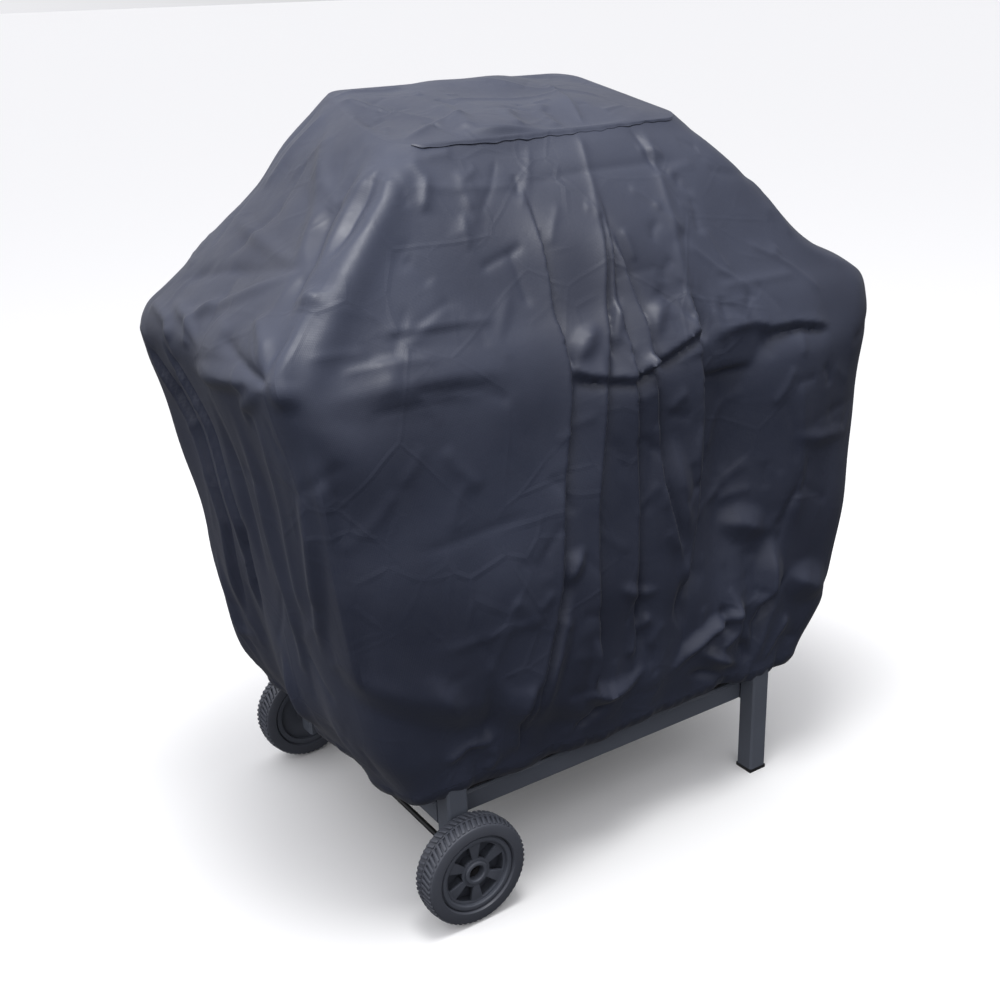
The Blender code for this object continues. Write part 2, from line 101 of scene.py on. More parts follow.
def noiseNode(tree, vector, scale, detail=3.0, roughness=0.5):
    made = addNode(tree, "ShaderNodeTexNoise")
    made.inputs["Scale"].default_value = scale
    made.inputs["Detail"].default_value = detail
    made.inputs["Roughness"].default_value = roughness
    tree.links.new(vector, made.inputs["Vector"])
    return made.outputs["Fac"]


def mapRange(tree, value, low, high, toLow, toHigh):
    made = addNode(tree, "ShaderNodeMapRange")
    for key, number in (("From Min", low), ("From Max", high), ("To Min", toLow), ("To Max", toHigh)):
        made.inputs[key].default_value = number
    tree.links.new(value, made.inputs["Value"])
    return made.outputs["Result"]


def mixColors(tree, fac, first, second):
    made = tree.nodes.new("ShaderNodeMix")
    made.data_type = "RGBA"
    made.inputs[6].default_value = (*first, 1)
    made.inputs[7].default_value = (*second, 1)
    tree.links.new(fac, made.inputs[0])
    return made.outputs[2]


def bumpChain(tree, shader, layers):
    # layers: (height socket, distance in metres, strength)
    normal = None
    for height, distance, strength in layers:
        bump = addNode(tree, "ShaderNodeBump")
        bump.inputs["Distance"].default_value = distance
        bump.inputs["Strength"].default_value = strength
        tree.links.new(height, bump.inputs["Height"])
        if normal is not None:
            tree.links.new(normal, bump.inputs["Normal"])
        normal = bump.outputs["Normal"]
    tree.links.new(normal, shader.inputs["Normal"])


def objectCoords(tree):
    return tree.nodes.new("ShaderNodeTexCoord").outputs["Object"]


def multiplyNode(tree, first, second):
    made = addNode(tree, "ShaderNodeMath", operation="MULTIPLY")
    tree.links.new(first, made.inputs[0])
    tree.links.new(second, made.inputs[1])
    return made.outputs[0]


def cellBorders(tree, vector, scale, width):
    # 1 on the borders between cells, falling to 0 within this width
    made = addNode(tree, "ShaderNodeTexVoronoi", feature="DISTANCE_TO_EDGE")
    made.inputs["Scale"].default_value = scale
    tree.links.new(vector, made.inputs["Vector"])
    return mapRange(tree, made.outputs["Distance"], 0.0, width, 1, 0)


clothLook = {
    "dark": (0.024, 0.029, 0.052),
    "light": (0.037, 0.045, 0.077),
    "roughness": 0.47,
    "roughnessSpread": (-0.06, 0.08),
    "sheen": 0.06,
    "sheenRoughness": 0.45,
    "threadPitch": 0.0011,      # metres between threads
    "patchScale": 3.2,          # lighter and darker areas
    "streakScale": 26.0,        # duller and shinier spots
    "crumpleScale": 7.0,        # cells whose borders are the large creases
    "crumpleWarp": 0.03,
    "fineScale": 17.0,          # cells whose borders are the fine creases
    "crinkleScale": 42.0,
    # each layer of relief: its depth in metres and its strength
    "weave": (0.0002, 0.35),
    "crinkle": (0.0010, 0.40),
    "fine": (0.0011, 0.45),
    "crumple": (0.0009, 0.40),
}


def threadWave(tree, vector, direction):
    wave = addNode(tree, "ShaderNodeTexWave", wave_type="BANDS", bands_direction=direction)
    wave.inputs["Scale"].default_value = 1 / clothLook["threadPitch"] / 20 * math.pi
    wave.inputs["Distortion"].default_value = 0.4
    wave.inputs["Detail"].default_value = 1.0
    tree.links.new(vector, wave.inputs["Vector"])
    return wave.outputs["Fac"]


def warpedCoords(tree, coords, share):
    warp = addNode(tree, "ShaderNodeTexNoise")
    warp.inputs["Scale"].default_value = 5.0
    tree.links.new(coords, warp.inputs["Vector"])
    mixed = addNode(tree, "ShaderNodeMix", data_type="VECTOR")
    mixed.inputs[0].default_value = share
    tree.links.new(coords, mixed.inputs[4])
    tree.links.new(warp.outputs["Color"], mixed.inputs[5])
    return mixed.outputs[1]


def clothMaterial(name, shade=1.0):
    look = clothLook
    dark = tuple(shade * c for c in look["dark"])
    light = tuple(shade * c for c in look["light"])
    made, tree, shader = newMaterial(name, dark, look["roughness"])
    shader.inputs["Sheen Weight"].default_value = look["sheen"]
    shader.inputs["Sheen Roughness"].default_value = look["sheenRoughness"]
    shader.inputs["Specular IOR Level"].default_value = 0.5
    coords = tree.nodes.new("ShaderNodeTexCoord")
    obj, uv = coords.outputs["Object"], coords.outputs["UV"]
    patches = noiseNode(tree, obj, look["patchScale"], 4.0)
    tone = mixColors(tree, mapRange(tree, patches, 0.35, 0.68, 0, 1), dark, light)
    tree.links.new(tone, shader.inputs["Base Color"])
    streaks = noiseNode(tree, obj, look["streakScale"], 5.0, 0.6)
    lowest, highest = (look["roughness"] + change for change in look["roughnessSpread"])
    tree.links.new(mapRange(tree, streaks, 0.3, 0.7, lowest, highest), shader.inputs["Roughness"])
    weave = multiplyNode(tree, threadWave(tree, uv, "X"), threadWave(tree, uv, "Y"))
    large = cellBorders(tree, warpedCoords(tree, obj, look["crumpleWarp"]), look["crumpleScale"], 0.03)
    largeWhere = mapRange(tree, noiseNode(tree, obj, 4.0, 2.0), 0.42, 0.60, 0, 1)
    fine = cellBorders(tree, obj, look["fineScale"], 0.10)
    fineWhere = mapRange(tree, noiseNode(tree, obj, 7.0, 2.0), 0.50, 0.66, 0, 1)
    crinkle = noiseNode(tree, obj, look["crinkleScale"], 6.0, 0.62)
    bumpChain(tree, shader, ((weave, *look["weave"]), (crinkle, *look["crinkle"]),
                             (multiplyNode(tree, fine, fineWhere), *look["fine"]),
                             (multiplyNode(tree, large, largeWhere), *look["crumple"])))
    return made


def paintMaterial(name, color, roughness, metallic=0.0, grain=900.0, depth=0.00006):
    made, tree, shader = newMaterial(name, color, roughness, metallic)
    coords = objectCoords(tree)
    spots = noiseNode(tree, coords, 14.0, 4.0)
    tree.links.new(mixColors(tree, spots, tuple(0.85 * c for c in color), tuple(1.18 * c for c in color)),
                   shader.inputs["Base Color"])
    wear = mapRange(tree, noiseNode(tree, coords, 60.0), 0.3, 0.7, roughness - 0.05, roughness + 0.07)
    tree.links.new(wear, shader.inputs["Roughness"])
    bumpChain(tree, shader, ((noiseNode(tree, coords, grain, 2.0), depth, 0.5),))
    return made


woodLook = {
    "dark": (0.17, 0.085, 0.040),
    "light": (0.36, 0.20, 0.10),
    "stretch": (34.0, 2.2, 34.0),   # the grain runs along Y
}


def woodMaterial(name):
    look = woodLook
    made, tree, shader = newMaterial(name, look["light"], 0.5)
    coords = objectCoords(tree)
    stretch = addNode(tree, "ShaderNodeMapping")
    stretch.inputs["Scale"].default_value = look["stretch"]
    tree.links.new(coords, stretch.inputs["Vector"])
    grain = noiseNode(tree, stretch.outputs["Vector"], 2.4, 6.0, 0.6)
    tone = mixColors(tree, mapRange(tree, grain, 0.32, 0.68, 0, 1), look["dark"], look["light"])
    tree.links.new(tone, shader.inputs["Base Color"])
    bumpChain(tree, shader, ((grain, 0.0005, 0.4),))
    return made


clothMat = clothMaterial("coatedPolyester")
# the hem uses the main cloth with its colour darkened to 0.8: painted shade along the cover's bottom edge
hemShadedMat = clothMaterial("hemClothPaintedShade", 0.8)
tubeMat = paintMaterial("satinTubePaint", (0.105, 0.117, 0.145), 0.36)
enamelMat = paintMaterial("blackEnamel", (0.022, 0.022, 0.025), 0.28, 0.0, 700.0, 0.00003)
steelMat = paintMaterial("zincPlate", (0.40, 0.40, 0.41), 0.34, 1.0, 700.0)
rimMat = paintMaterial("wheelPlastic", (0.080, 0.088, 0.110), 0.42, 0.0, 1500.0, 0.00008)
tyreMat = paintMaterial("hardTyre", (0.070, 0.076, 0.095), 0.5, 0.0, 1100.0, 0.00012)
capMat = paintMaterial("footPlastic", (0.018, 0.018, 0.020), 0.5)
axleMat = paintMaterial("blackenedSteel", (0.030, 0.030, 0.032), 0.4, 0.6)
woodMat = woodMaterial("oiledSlat")
dialMat = paintMaterial("thermometerSteel", (0.55, 0.55, 0.56), 0.25, 1.0)
print("materials made")


def dressFrame():
    # every CAD node that stays in view gets its finish
    bySlot = {"tube_paint": tubeMat, "enamel": enamelMat, "plated_steel": steelMat,
              "wheel_plastic": rimMat, "tyre_plastic": tyreMat, "foot_plastic": capMat,
              "slat_wood": woodMat, "cover_cloth": clothMat}
    for row in frame["record"]["subparts"]:
        obj = nodes[row["node"]]
        obj.data.materials.clear()
        obj.data.materials.append(bySlot[row["material_slot"]])
    for name in ("axle", "push_nut_front", "push_nut_back", "washer_front", "washer_back"):
        nodes[name].data.materials[0] = axleMat
    nodes["thermometer"].data.materials[0] = dialMat


dressFrame()
print("frame dressed")


coverSpec = {
    # height, left, right, front, back, front corner radius, back corner radius
    "sections": (
        (0.188, -0.362, 0.384, -0.240, 0.239, 0.060, 0.060),
        (0.285, -0.400, 0.426, -0.246, 0.242, 0.080, 0.070),
        (0.420, -0.421, 0.459, -0.249, 0.243, 0.090, 0.070),
        (0.600, -0.444, 0.484, -0.248, 0.242, 0.090, 0.060),
        (0.690, -0.459, 0.484, -0.245, 0.241, 0.075, 0.050),
        (0.735, -0.470, 0.479, -0.233, 0.240, 0.056, 0.045),
        (0.765, -0.476, 0.473, -0.220, 0.239, 0.048, 0.045),
        (0.790, -0.468, 0.450, -0.204, 0.238, 0.048, 0.045),
        (0.820, -0.438, 0.402, -0.187, 0.236, 0.050, 0.045),
        (0.880, -0.370, 0.348, -0.150, 0.231, 0.045, 0.045),
        (0.960, -0.262, 0.288, -0.089, 0.225, 0.040, 0.045),
        (0.994, -0.212, 0.252, -0.055, 0.223, 0.040, 0.040),
    ),
    "shoulder": 0.76,
    "skirtStep": 0.0048,
    "slopeStep": 0.0035,
    "longColumns": 236,
    "shortColumns": 110,
    "topRise": 0.180,
    "tiltFrom": 0.930,
    "topBackLeft": 0.034,     # how far the top's back left corner is pulled in
    "topCrown": 0.010,
    "thick": 0.0011,
}


def smoothCurve(x, knots, values):
    # a cubic through the knots whose slopes come from the neighbours
    knots, values = np.array(knots), np.array(values)
    steps = np.diff(values) / np.diff(knots)
    slopes = np.concatenate(([steps[0]], (steps[1:] + steps[:-1]) / 2, [steps[-1]]))
    k = np.clip(np.searchsorted(knots, x) - 1, 0, len(knots) - 2)
    span = knots[k + 1] - knots[k]
    t = (x - knots[k]) / span
    return ((2 * t**3 - 3 * t**2 + 1) * values[k] + (t**3 - 2 * t**2 + t) * span * slopes[k]
            + (3 * t**2 - 2 * t**3) * values[k + 1] + (t**3 - t**2) * span * slopes[k + 1])


def levelSections():
    spec = coverSpec
    table = np.array(spec["sections"])
    low, high = table[0, 0], table[-1, 0]
    skirt = np.arange(low, spec["shoulder"], spec["skirtStep"])
    slope = np.linspace(spec["shoulder"], high, int((high - spec["shoulder"]) / spec["slopeStep"]))
    heights = np.concatenate((skirt, slope))
    columns = [smoothCurve(heights, table[:, 0], table[:, k]) for k in range(1, 7)]
    return heights, np.stack(columns, 1)


def spread(side, count):
    # shares along a panel, closer together where the front's pleats are
    t = np.linspace(0, 1, 2001)
    density = np.ones(len(t))
    if side == 0:
        density += 0.75 * smoothStep((t - 0.27) / 0.06) * smoothStep((0.95 - t) / 0.06)
    total = np.concatenate(([0], np.cumsum((density[1:] + density[:-1]) / 2)))
    return np.interp(np.linspace(0, 1, count), total / total[-1], t)


def panelPoints(heights, sections, side, count):
    # rows of points from the middle of one corner to the middle of the next
    left, right, front, back, frontRadius, backRadius = (sections[:, k:k + 1] for k in range(6))
    corners = (  # centre x, centre y, radius, first angle: front right, back right, back left, front left
        (right - frontRadius, front + frontRadius, frontRadius, -90),
        (right - backRadius, back - backRadius, backRadius, 0),
        (left + backRadius, back - backRadius, backRadius, 90),
        (left + frontRadius, front + frontRadius, frontRadius, 180))
    before, after = corners[side - 1], corners[side]
    startArc, endArc = before[2] * math.pi / 4, after[2] * math.pi / 4
    startAngle, endAngle = math.radians(before[3] + 90), math.radians(after[3])
    firstX = before[0] + before[2] * math.cos(startAngle)
    firstY = before[1] + before[2] * math.sin(startAngle)
    lastX = after[0] + after[2] * math.cos(endAngle)
    lastY = after[1] + after[2] * math.sin(endAngle)
    straight = np.hypot(lastX - firstX, lastY - firstY)
    run = spread(side, count)[None, :] * (startArc + straight + endArc)
    angleIn = startAngle - (startArc - run) / before[2]
    angleOut = endAngle + (run - startArc - straight) / after[2]
    t = np.clip((run - startArc) / straight, 0, 1)
    inArc, outArc = run < startArc, run > startArc + straight
    x = np.where(inArc, before[0] + before[2] * np.cos(angleIn),
                 np.where(outArc, after[0] + after[2] * np.cos(angleOut), firstX + (lastX - firstX) * t))
    y = np.where(inArc, before[1] + before[2] * np.sin(angleIn),
                 np.where(outArc, after[1] + after[2] * np.sin(angleOut), firstY + (lastY - firstY) * t))
    spec = coverSpec
    z = np.broadcast_to(heights[:, None], x.shape).copy()
    top = heights[-1]
    tilt = smoothStep((z - spec["tiltFrom"]) / (top - spec["tiltFrom"]))
    z += tilt * (y - front) * spec["topRise"]
    pulled = np.where(x < 0, spec["topBackLeft"], 0.0) * tilt
    x = x + pulled * smoothStep((y - 0.02) / 0.2) * smoothStep(-x / 0.1)
    return np.stack((x, y, z), -1)


panelNames = ("front", "right", "back", "left")


def ringOfPanels():
    heights, sections = levelSections()
    counts = (coverSpec["longColumns"], coverSpec["shortColumns"]) * 2
    panels = [panelPoints(heights, sections, side, counts[side]) for side in range(4)]
    ring = np.concatenate([p[:, :-1] for p in panels], 1)
    starts = np.cumsum([0] + [c - 1 for c in counts])
    return heights, ring, starts


def gridNormals(grid, wrap):
    if wrap:
        along = np.roll(grid, -1, 1) - np.roll(grid, 1, 1)
    else:
        along = np.gradient(grid, axis=1)
    up = np.gradient(grid, axis=0)
    normal = np.cross(along, up)
    return normal / np.maximum(np.linalg.norm(normal, axis=-1, keepdims=True), 1e-12)


heights, ring, starts = ringOfPanels()
ringNormals = gridNormals(ring, True)
print("cover base", ring.shape)


def onCover(side, across, height):
    # the base form's point at this height, this far along the panel (x on front and back, y on the ends)
    k = panelNames.index(side)
    row = int(np.argmin(np.abs(heights - height)))
    columns = np.arange(starts[k], starts[k + 1] + 1) % ring.shape[1]
    axis = 0 if side in ("front", "back") else 1
    nearest = int(np.argmin(np.abs(ring[row, columns, axis] - across)))
    return ring[row, columns[nearest]]


def distanceTo(points, normals, line):
    # signed distance to a polyline, positive on its left going down, and the share of its length
    line = np.array(line)
    lengths = np.linalg.norm(np.diff(line, axis=0), axis=1)
    done = np.concatenate(([0], np.cumsum(lengths)))
    best = np.full(len(points), 1e9)
    side = np.ones(len(points))
    share = np.zeros(len(points))
    for k, length in enumerate(lengths):
        way = (line[k + 1] - line[k]) / length
        offset = points - line[k]
        along = np.clip(offset @ way, 0, length)
        away = offset - along[:, None] * way
        distance = np.linalg.norm(away, axis=1)
        closer = distance < best
        best = np.where(closer, distance, best)
        sign = np.sign(np.einsum("ij,ij->i", np.cross(way, normals), away))
        side = np.where(closer, sign, side)
        share = np.where(closer, (done[k] + along) / done[-1], share)
    return best * side, share


foldSpec = {
    "gain": {"pleat": 1.2, "crease": 1.3, "fold": 1.1, "ridge": 1.35},
    "pleatStep": 0.009,       # the distance over which a pleat drops
    "pleatUnder": 1.15,       # how deep it drops, against its height
    "pleatUnderWidth": 0.42,
    "taper": 0.16,            # share of a fold's length over which each end fades
    "ridgeTaper": 0.42,
    "reach": 5,               # widths beyond which a fold does nothing
}


def foldHeight(kind, d, amount, width):
    spec = foldSpec
    if kind == "pleat":        # high on its left side, dropping sharply on its right
        high = smoothStep(d / spec["pleatStep"] + 0.5)
        upper = np.exp(-np.maximum(d, 0) / width)
        lower = -spec["pleatUnder"] * np.exp(np.minimum(d, 0) / (spec["pleatUnderWidth"] * width))
        return amount * (high * upper + (1 - high) * lower)
    if kind == "crease":       # a sharp line, its tip just rounded
        return amount * np.exp(-(np.sqrt(d * d + 4e-6) - 2e-3) / width)
    if kind == "ridge":        # two flat facets that meet in an edge
        soft = np.sqrt(d * d + 3e-6) - 1.7e-3
        return amount * np.maximum(0, 1 - soft / width) ** 1.25
    return amount * np.exp(-(d / width) ** 2)   # a round fold


def pressFolds(points, normals, move, folds):
    spec = foldSpec
    for line, kind, amount, width in folds:
        line = np.array(line)
        reach = spec["reach"] * width
        near = np.all((points > line.min(0) - reach) & (points < line.max(0) + reach), axis=1)
        if not near.any():
            continue
        d, share = distanceTo(points[near], normals[near], line)
        fade = spec["ridgeTaper"] if kind == "ridge" else spec["taper"]
        ends = smoothStep(share / fade) * smoothStep((1 - share) / fade)
        across = width * (0.45 + 0.55 * ends) if kind == "ridge" else width
        move[near] += spec["gain"][kind] * foldHeight(kind, d, amount, across) * ends


def mm(value):
    return value / 1000


# by side: kind, height and width in mm, then points (along the panel, up) in mm
handFolds = {
    "front": (
        # the packed-in creases that run down the front slope and open into the skirt's pleats
        ("pleat", 9, 28, (-66, 945), (-86, 790), (-90, 707), (-116, 560), (-128, 450), (-136, 400),
         (-160, 323), (-175, 220)),
        ("crease", 2.0, 5, (60, 990), (40, 930), (22, 885)),
        ("pleat", 11, 28, (30, 905), (-4, 800), (-14, 765), (-36, 700), (-46, 620), (-58, 550),
         (-64, 440), (-62, 260)),
        ("pleat", 8, 20, (42, 925), (13, 780), (10, 700), (14, 530), (12, 390), (18, 280)),
        ("pleat", 9, 18, (36, 885), (45, 767), (44, 700), (55, 555), (95, 410)),
        ("ridge", 8, 24, (68, 620), (86, 530), (99, 420)),
        ("crease", 3.4, 8, (171, 995), (155, 945), (128, 830), (127, 735)),
        ("pleat", 13, 40, (128, 800), (127, 730), (127, 600), (122, 500), (105, 420), (92, 340)),
        # cloth that bunches over the shoulder, where the pleats are gathered
        ("pleat", 9, 18, (-36, 704), (-60, 709), (-90, 724)),
        ("pleat", 8, 16, (12, 698), (-12, 701), (-38, 706)),
        ("pleat", 10, 14, (48, 713), (30, 706), (8, 698)),
        ("pleat", 8, 22, (127, 742), (90, 727), (46, 712)),
        ("ridge", 7, 9, (22, 700), (36, 714), (52, 716)),
        ("ridge", 6, 18, (-85, 735), (-55, 755), (-30, 775)),
        ("ridge", 6, 14, (-20, 735), (0, 775), (26, 800)),
        ("ridge", 5, 16, (50, 735), (62, 765), (90, 790)),
        ("crease", -3, 8, (76, 800), (100, 770), (124, 755)),
        ("pleat", 8, 24, (372, 707), (301, 719), (249, 721), (224, 730), (183, 729), (160, 711),
         (127, 739)),
        ("crease", -3, 7, (183, 729), (176, 750), (178, 775)),
        ("crease", -2.5, 7, (224, 730), (220, 752), (232, 775)),
        # folds pressed in by packing
        ("crease", 2.0, 6, (-222, 946), (-150, 941), (-65, 939)),
        ("crease", -1.8, 6, (-65, 939), (40, 942), (155, 945), (215, 941)),
        ("crease", -1.2, 5, (10, 820), (60, 822), (100, 822)),
        ("crease", 2.0, 6, (175, 786), (240, 784), (330, 786)),
        ("crease", 2.2, 6, (-330, 808), (-250, 804), (-165, 800)),
        ("crease", -1.4, 5, (-330, 800), (-250, 797), (-200, 796)),
        ("crease", 1.8, 5, (190, 860), (200, 820), (215, 800)),
        ("crease", -1.2, 5, (-430, 560), (-300, 555), (-160, 560)),
        ("crease", 1.4, 5, (-400, 430), (-280, 420), (-150, 425)),
        ("ridge", 5, 18, (288, 568), (338, 555), (428, 544)),
        ("crease", 1.8, 6, (190, 500), (150, 485), (130, 465)),
        ("crease", 2.0, 9, (300, 660), (310, 520), (305, 420)),
        # the shoulder line to the left and the wide ridge up to the top's corner
        ("ridge", 6, 40, (-150, 742), (-250, 750), (-396, 749), (-458, 738)),
        ("fold", 8, 26, (-455, 735), (-420, 790), (-360, 850), (-280, 925), (-210, 985)),
        ("crease", 2.4, 12, (-360, 735), (-300, 785), (-220, 830)),
        # the left of the skirt
        ("pleat", 5, 26, (-424, 690), (-420, 570), (-421, 470), (-425, 370)),
        ("ridge", 6, 22, (-452, 730), (-446, 600), (-435, 470), (-425, 380)),
        ("ridge", 7, 26, (-330, 400), (-300, 330), (-255, 270)),
        ("ridge", -7, 20, (-240, 360), (-230, 300), (-235, 230)),
        ("crease", 6, 7, (-300, 235), (-260, 250), (-220, 245)),
        ("crease", -6, 7, (-255, 250), (-262, 225), (-285, 205)),
        ("crease", 6, 6, (-225, 240), (-215, 215), (-230, 195)),
        ("pleat", 8, 16, (-170, 330), (-190, 270), (-180, 210)),
        # gathers above the hem, in the middle
        ("ridge", 7, 16, (-85, 501), (-103, 481), (-121, 448)),
        ("ridge", 9, 20, (-105, 450), (-125, 390), (-140, 330), (-150, 260)),
        ("ridge", 8, 13, (-79, 370), (-64, 331), (-68, 271)),
        ("ridge", 5, 14, (-30, 421), (13, 395), (52, 394)),
        ("ridge", -6, 14, (20, 467), (13, 402), (18, 283), (-2, 262)),
        ("ridge", 12, 16, (-80, 315), (-72, 275), (-45, 258), (0, 260), (35, 280)),
        ("ridge", -9, 15, (-20, 240), (-55, 232), (-95, 205)),
        ("crease", 5, 7, (35, 360), (15, 335), (2, 300)),
        # gathers drawn in to the right front leg
        ("ridge", 9, 30, (170, 450), (222, 440), (263, 417)),
        ("ridge", 13, 24, (263, 420), (264, 365), (262, 329), (229, 300)),
        ("ridge", 9, 14, (187, 350), (202, 318), (202, 281), (170, 244)),
        ("ridge", 13, 17, (230, 317), (193, 309), (146, 295), (109, 275), (76, 240)),
        ("ridge", -8, 12, (170, 330), (180, 300), (176, 275)),
        ("ridge", -8, 13, (214, 262), (236, 225), (245, 196)),
        ("ridge", 12, 36, (290, 352), (338, 320), (386, 289)),
        ("ridge", -11, 16, (303, 354), (273, 322), (249, 274), (245, 200)),
        ("ridge", 10, 14, (125, 276), (179, 233), (235, 198)),
        ("ridge", -7, 12, (105, 235), (150, 215), (205, 190)),
        ("crease", 6, 9, (310, 275), (290, 235), (272, 200)),
        ("ridge", -9, 16, (92, 413), (90, 345), (103, 309)),
        # the top's left corners, bunched
        ("crease", 4, 6, (-204, 985), (-180, 978), (-140, 982)),
        ("crease", 4, 7, (-210, 980), (-200, 955), (-220, 920)),
    ),
    "left": (
        # the left front corner: the sharp edge down the skirt, the pinch and its drooping lobe
        ("ridge", 10, 20, (-205, 700), (-195, 580), (-175, 470), (-150, 390)),
        ("fold", 12, 13, (-185, 865), (-205, 825), (-222, 775), (-215, 742)),
        ("crease", -9, 10, (-160, 850), (-175, 810), (-180, 765)),
        ("ridge", 7, 18, (-188, 772), (-100, 757), (52, 742)),
        ("ridge", 6, 14, (-188, 772), (-120, 730), (-100, 695)),
        ("crease", 6, 8, (-188, 772), (-150, 805), (-90, 830)),
        ("crease", -6, 9, (-188, 772), (-135, 782), (-50, 800)),
        # the long packed creases that cross on the left slope
        ("ridge", 6, 20, (138, 1020), (48, 959), (-60, 895), (-100, 878), (-147, 853)),
        ("ridge", 4, 15, (190, 905), (100, 893), (-20, 884), (-100, 878)),
        ("ridge", -9, 24, (-20, 985), (-50, 920), (-100, 878), (-150, 810)),
        ("ridge", -10, 20, (-75, 975), (-110, 915), (-135, 875)),
        ("ridge", 5, 16, (-100, 878), (-20, 835), (100, 790)),
        ("crease", -4, 10, (-100, 878), (30, 860), (170, 830)),
        ("crease", 4, 8, (30, 950), (-30, 935), (-90, 955)),
        ("crease", -3.5, 9, (100, 965), (80, 910), (90, 860)),
        ("ridge", 5, 12, (140, 810), (60, 800), (0, 775)),
        ("crease", 5, 7, (190, 800), (110, 790), (90, 765)),
        ("crease", 5, 8, (20, 830), (50, 800), (45, 765)),
        # folds that fall from the left shelf's end
        ("pleat", 7, 24, (190, 765), (130, 640), (100, 500), (110, 340)),
        ("pleat", 7, 22, (120, 770), (60, 660), (30, 520), (50, 360)),
        ("ridge", 8, 26, (-70, 740), (-80, 620), (-95, 470), (-80, 300)),
        ("ridge", -6, 22, (0, 740), (-10, 600), (-20, 440)),
        ("crease", 4, 10, (-140, 730), (-140, 600), (-130, 440)),
        ("ridge", 7, 20, (160, 450), (150, 320), (130, 220)),
        ("ridge", 8, 20, (-20, 360), (-30, 280), (-20, 200)),
        # the top's left corners, bunched
        ("crease", 4, 7, (-50, 990), (-10, 985), (30, 995)),
        ("crease", 4, 8, (180, 1025), (150, 980), (160, 930)),
        ("crease", -3, 8, (190, 1025), (185, 970), (200, 900)),
    ),
    "right": (
        # the right end
        ("ridge", 5, 18, (-120, 870), (-20, 830), (100, 800)),
        ("crease", -4, 9, (170, 900), (50, 870), (-120, 860)),
        ("ridge", 5, 20, (0, 980), (-10, 900), (-40, 830)),
        ("pleat", 9, 26, (-150, 700), (-120, 580), (-110, 460), (-120, 300)),
        ("ridge", 9, 28, (-50, 720), (-30, 600), (-20, 460), (-30, 280)),
        ("pleat", 9, 26, (60, 720), (70, 600), (60, 450), (50, 280)),
        ("ridge", 8, 24, (160, 720), (140, 600), (130, 440), (130, 280)),
        ("crease", 1.4, 6, (200, 560), (0, 550), (-200, 560)),
    ),
    "back": (
        # the back: packed creases and a few hanging folds
        ("crease", 1.8, 5, (-420, 600), (0, 610), (420, 600)),
        ("crease", -1.6, 5, (-380, 400), (0, 390), (380, 400)),
        ("crease", 1.6, 5, (-250, 860), (0, 850), (250, 860)),
        ("crease", 2.4, 6, (-160, 980), (-170, 600), (-160, 240)),
        ("crease", -2.4, 6, (160, 980), (170, 600), (160, 240)),
        ("pleat", 8, 26, (-360, 740), (-330, 560), (-300, 340)),
        ("ridge", 8, 30, (-80, 700), (-70, 500), (-50, 260)),
        ("ridge", -7, 26, (70, 720), (90, 500), (60, 260)),
        ("pleat", 8, 26, (330, 740), (310, 550), (280, 330)),
        ("ridge", 7, 24, (240, 660), (200, 460), (210, 280)),
    ),
}


def chosenFolds():
    return [([onCover(side, mm(x), mm(z)) for x, z in line], kind, mm(amount), mm(width))
            for side, folds in handFolds.items() for kind, amount, width, *line in folds]


def smallCreases(seed, count):
    # short faint creases of every direction, as cloth keeps from being packed
    random = np.random.default_rng(seed)
    folds = []
    for _ in range(count):
        row = random.integers(6, ring.shape[0] - 8)
        column = random.integers(0, ring.shape[1])
        length = random.uniform(0.03, 0.13)
        angle = random.uniform(0, math.pi)
        steps = np.array((-0.5, 0, 0.5)) * length / coverSpec["skirtStep"]
        rows = np.clip(row + steps * math.sin(angle), 2, ring.shape[0] - 3).astype(int)
        bend = np.array((0, random.uniform(-2, 2), 0))
        columns = (column + steps * math.cos(angle) + bend).astype(int) % ring.shape[1]
        line = [ring[r, c] for r, c in zip(rows, columns)]
        amount = random.uniform(0.8, 2.2) * random.choice((-1, 1))
        width = random.uniform(3.5, 6)
        if random.random() < 0.15:      # a faceted dent instead of a line
            folds.append((line, "ridge", mm(0.7 * amount), mm(3 * width)))
        else:
            folds.append((line, "crease", mm(amount), mm(width)))
    return folds


def gentleWaves(points, seed, reach, shortest, longest):
    random = np.random.default_rng(seed)
    move = np.zeros(len(points))
    waves = 14
    for _ in range(waves):
        way = random.normal(size=3)
        way /= np.linalg.norm(way)
        length = random.uniform(shortest, longest)
        move += np.sin(points @ way * 2 * math.pi / length + random.uniform(0, 6.28))
    return move * reach / math.sqrt(waves / 2)


hemSpec = {
    "wave": 0.010,
    "tuckHeight": 0.075,      # height over which the skirt is drawn in above the hem
    "tuckIn": 0.008,
    "band": 0.022,
    "overlap": 0.18,          # share of the band that lies over the skirt
    "rollIn": 0.010,
    "stand": 0.0004,
    "puckers": ((0.0008, 87), (0.0009, 41)),     # height, and how many round the cover
    "rows": 7,
    "thick": 0.0020,
}


formSpec = {
    "hollowAt": 0.185,        # the slack hollow under the right shoulder
    "hollowWidth": 0.050,
    "hollowDepth": 0.030,
    "fullAt": 0.32,           # the fuller cloth to the right of it
    "fullWidth": 0.07,
    "fullHeight": 0.010,
    "tuckAcross": (-0.485, -0.436, -0.32, -0.18, -0.06, 0.05),     # the line above the tucked left corner
    "tuckUp": (0.41, 0.37, 0.30, 0.245, 0.205, 0.18),
    "tuckSwell": 0.017,
    "slopeSag": 0.004,
    "handleRoom": 0.009,      # room over the lid's handle
    "handleHalf": 0.20,
    "handleUp": 0.865,
}


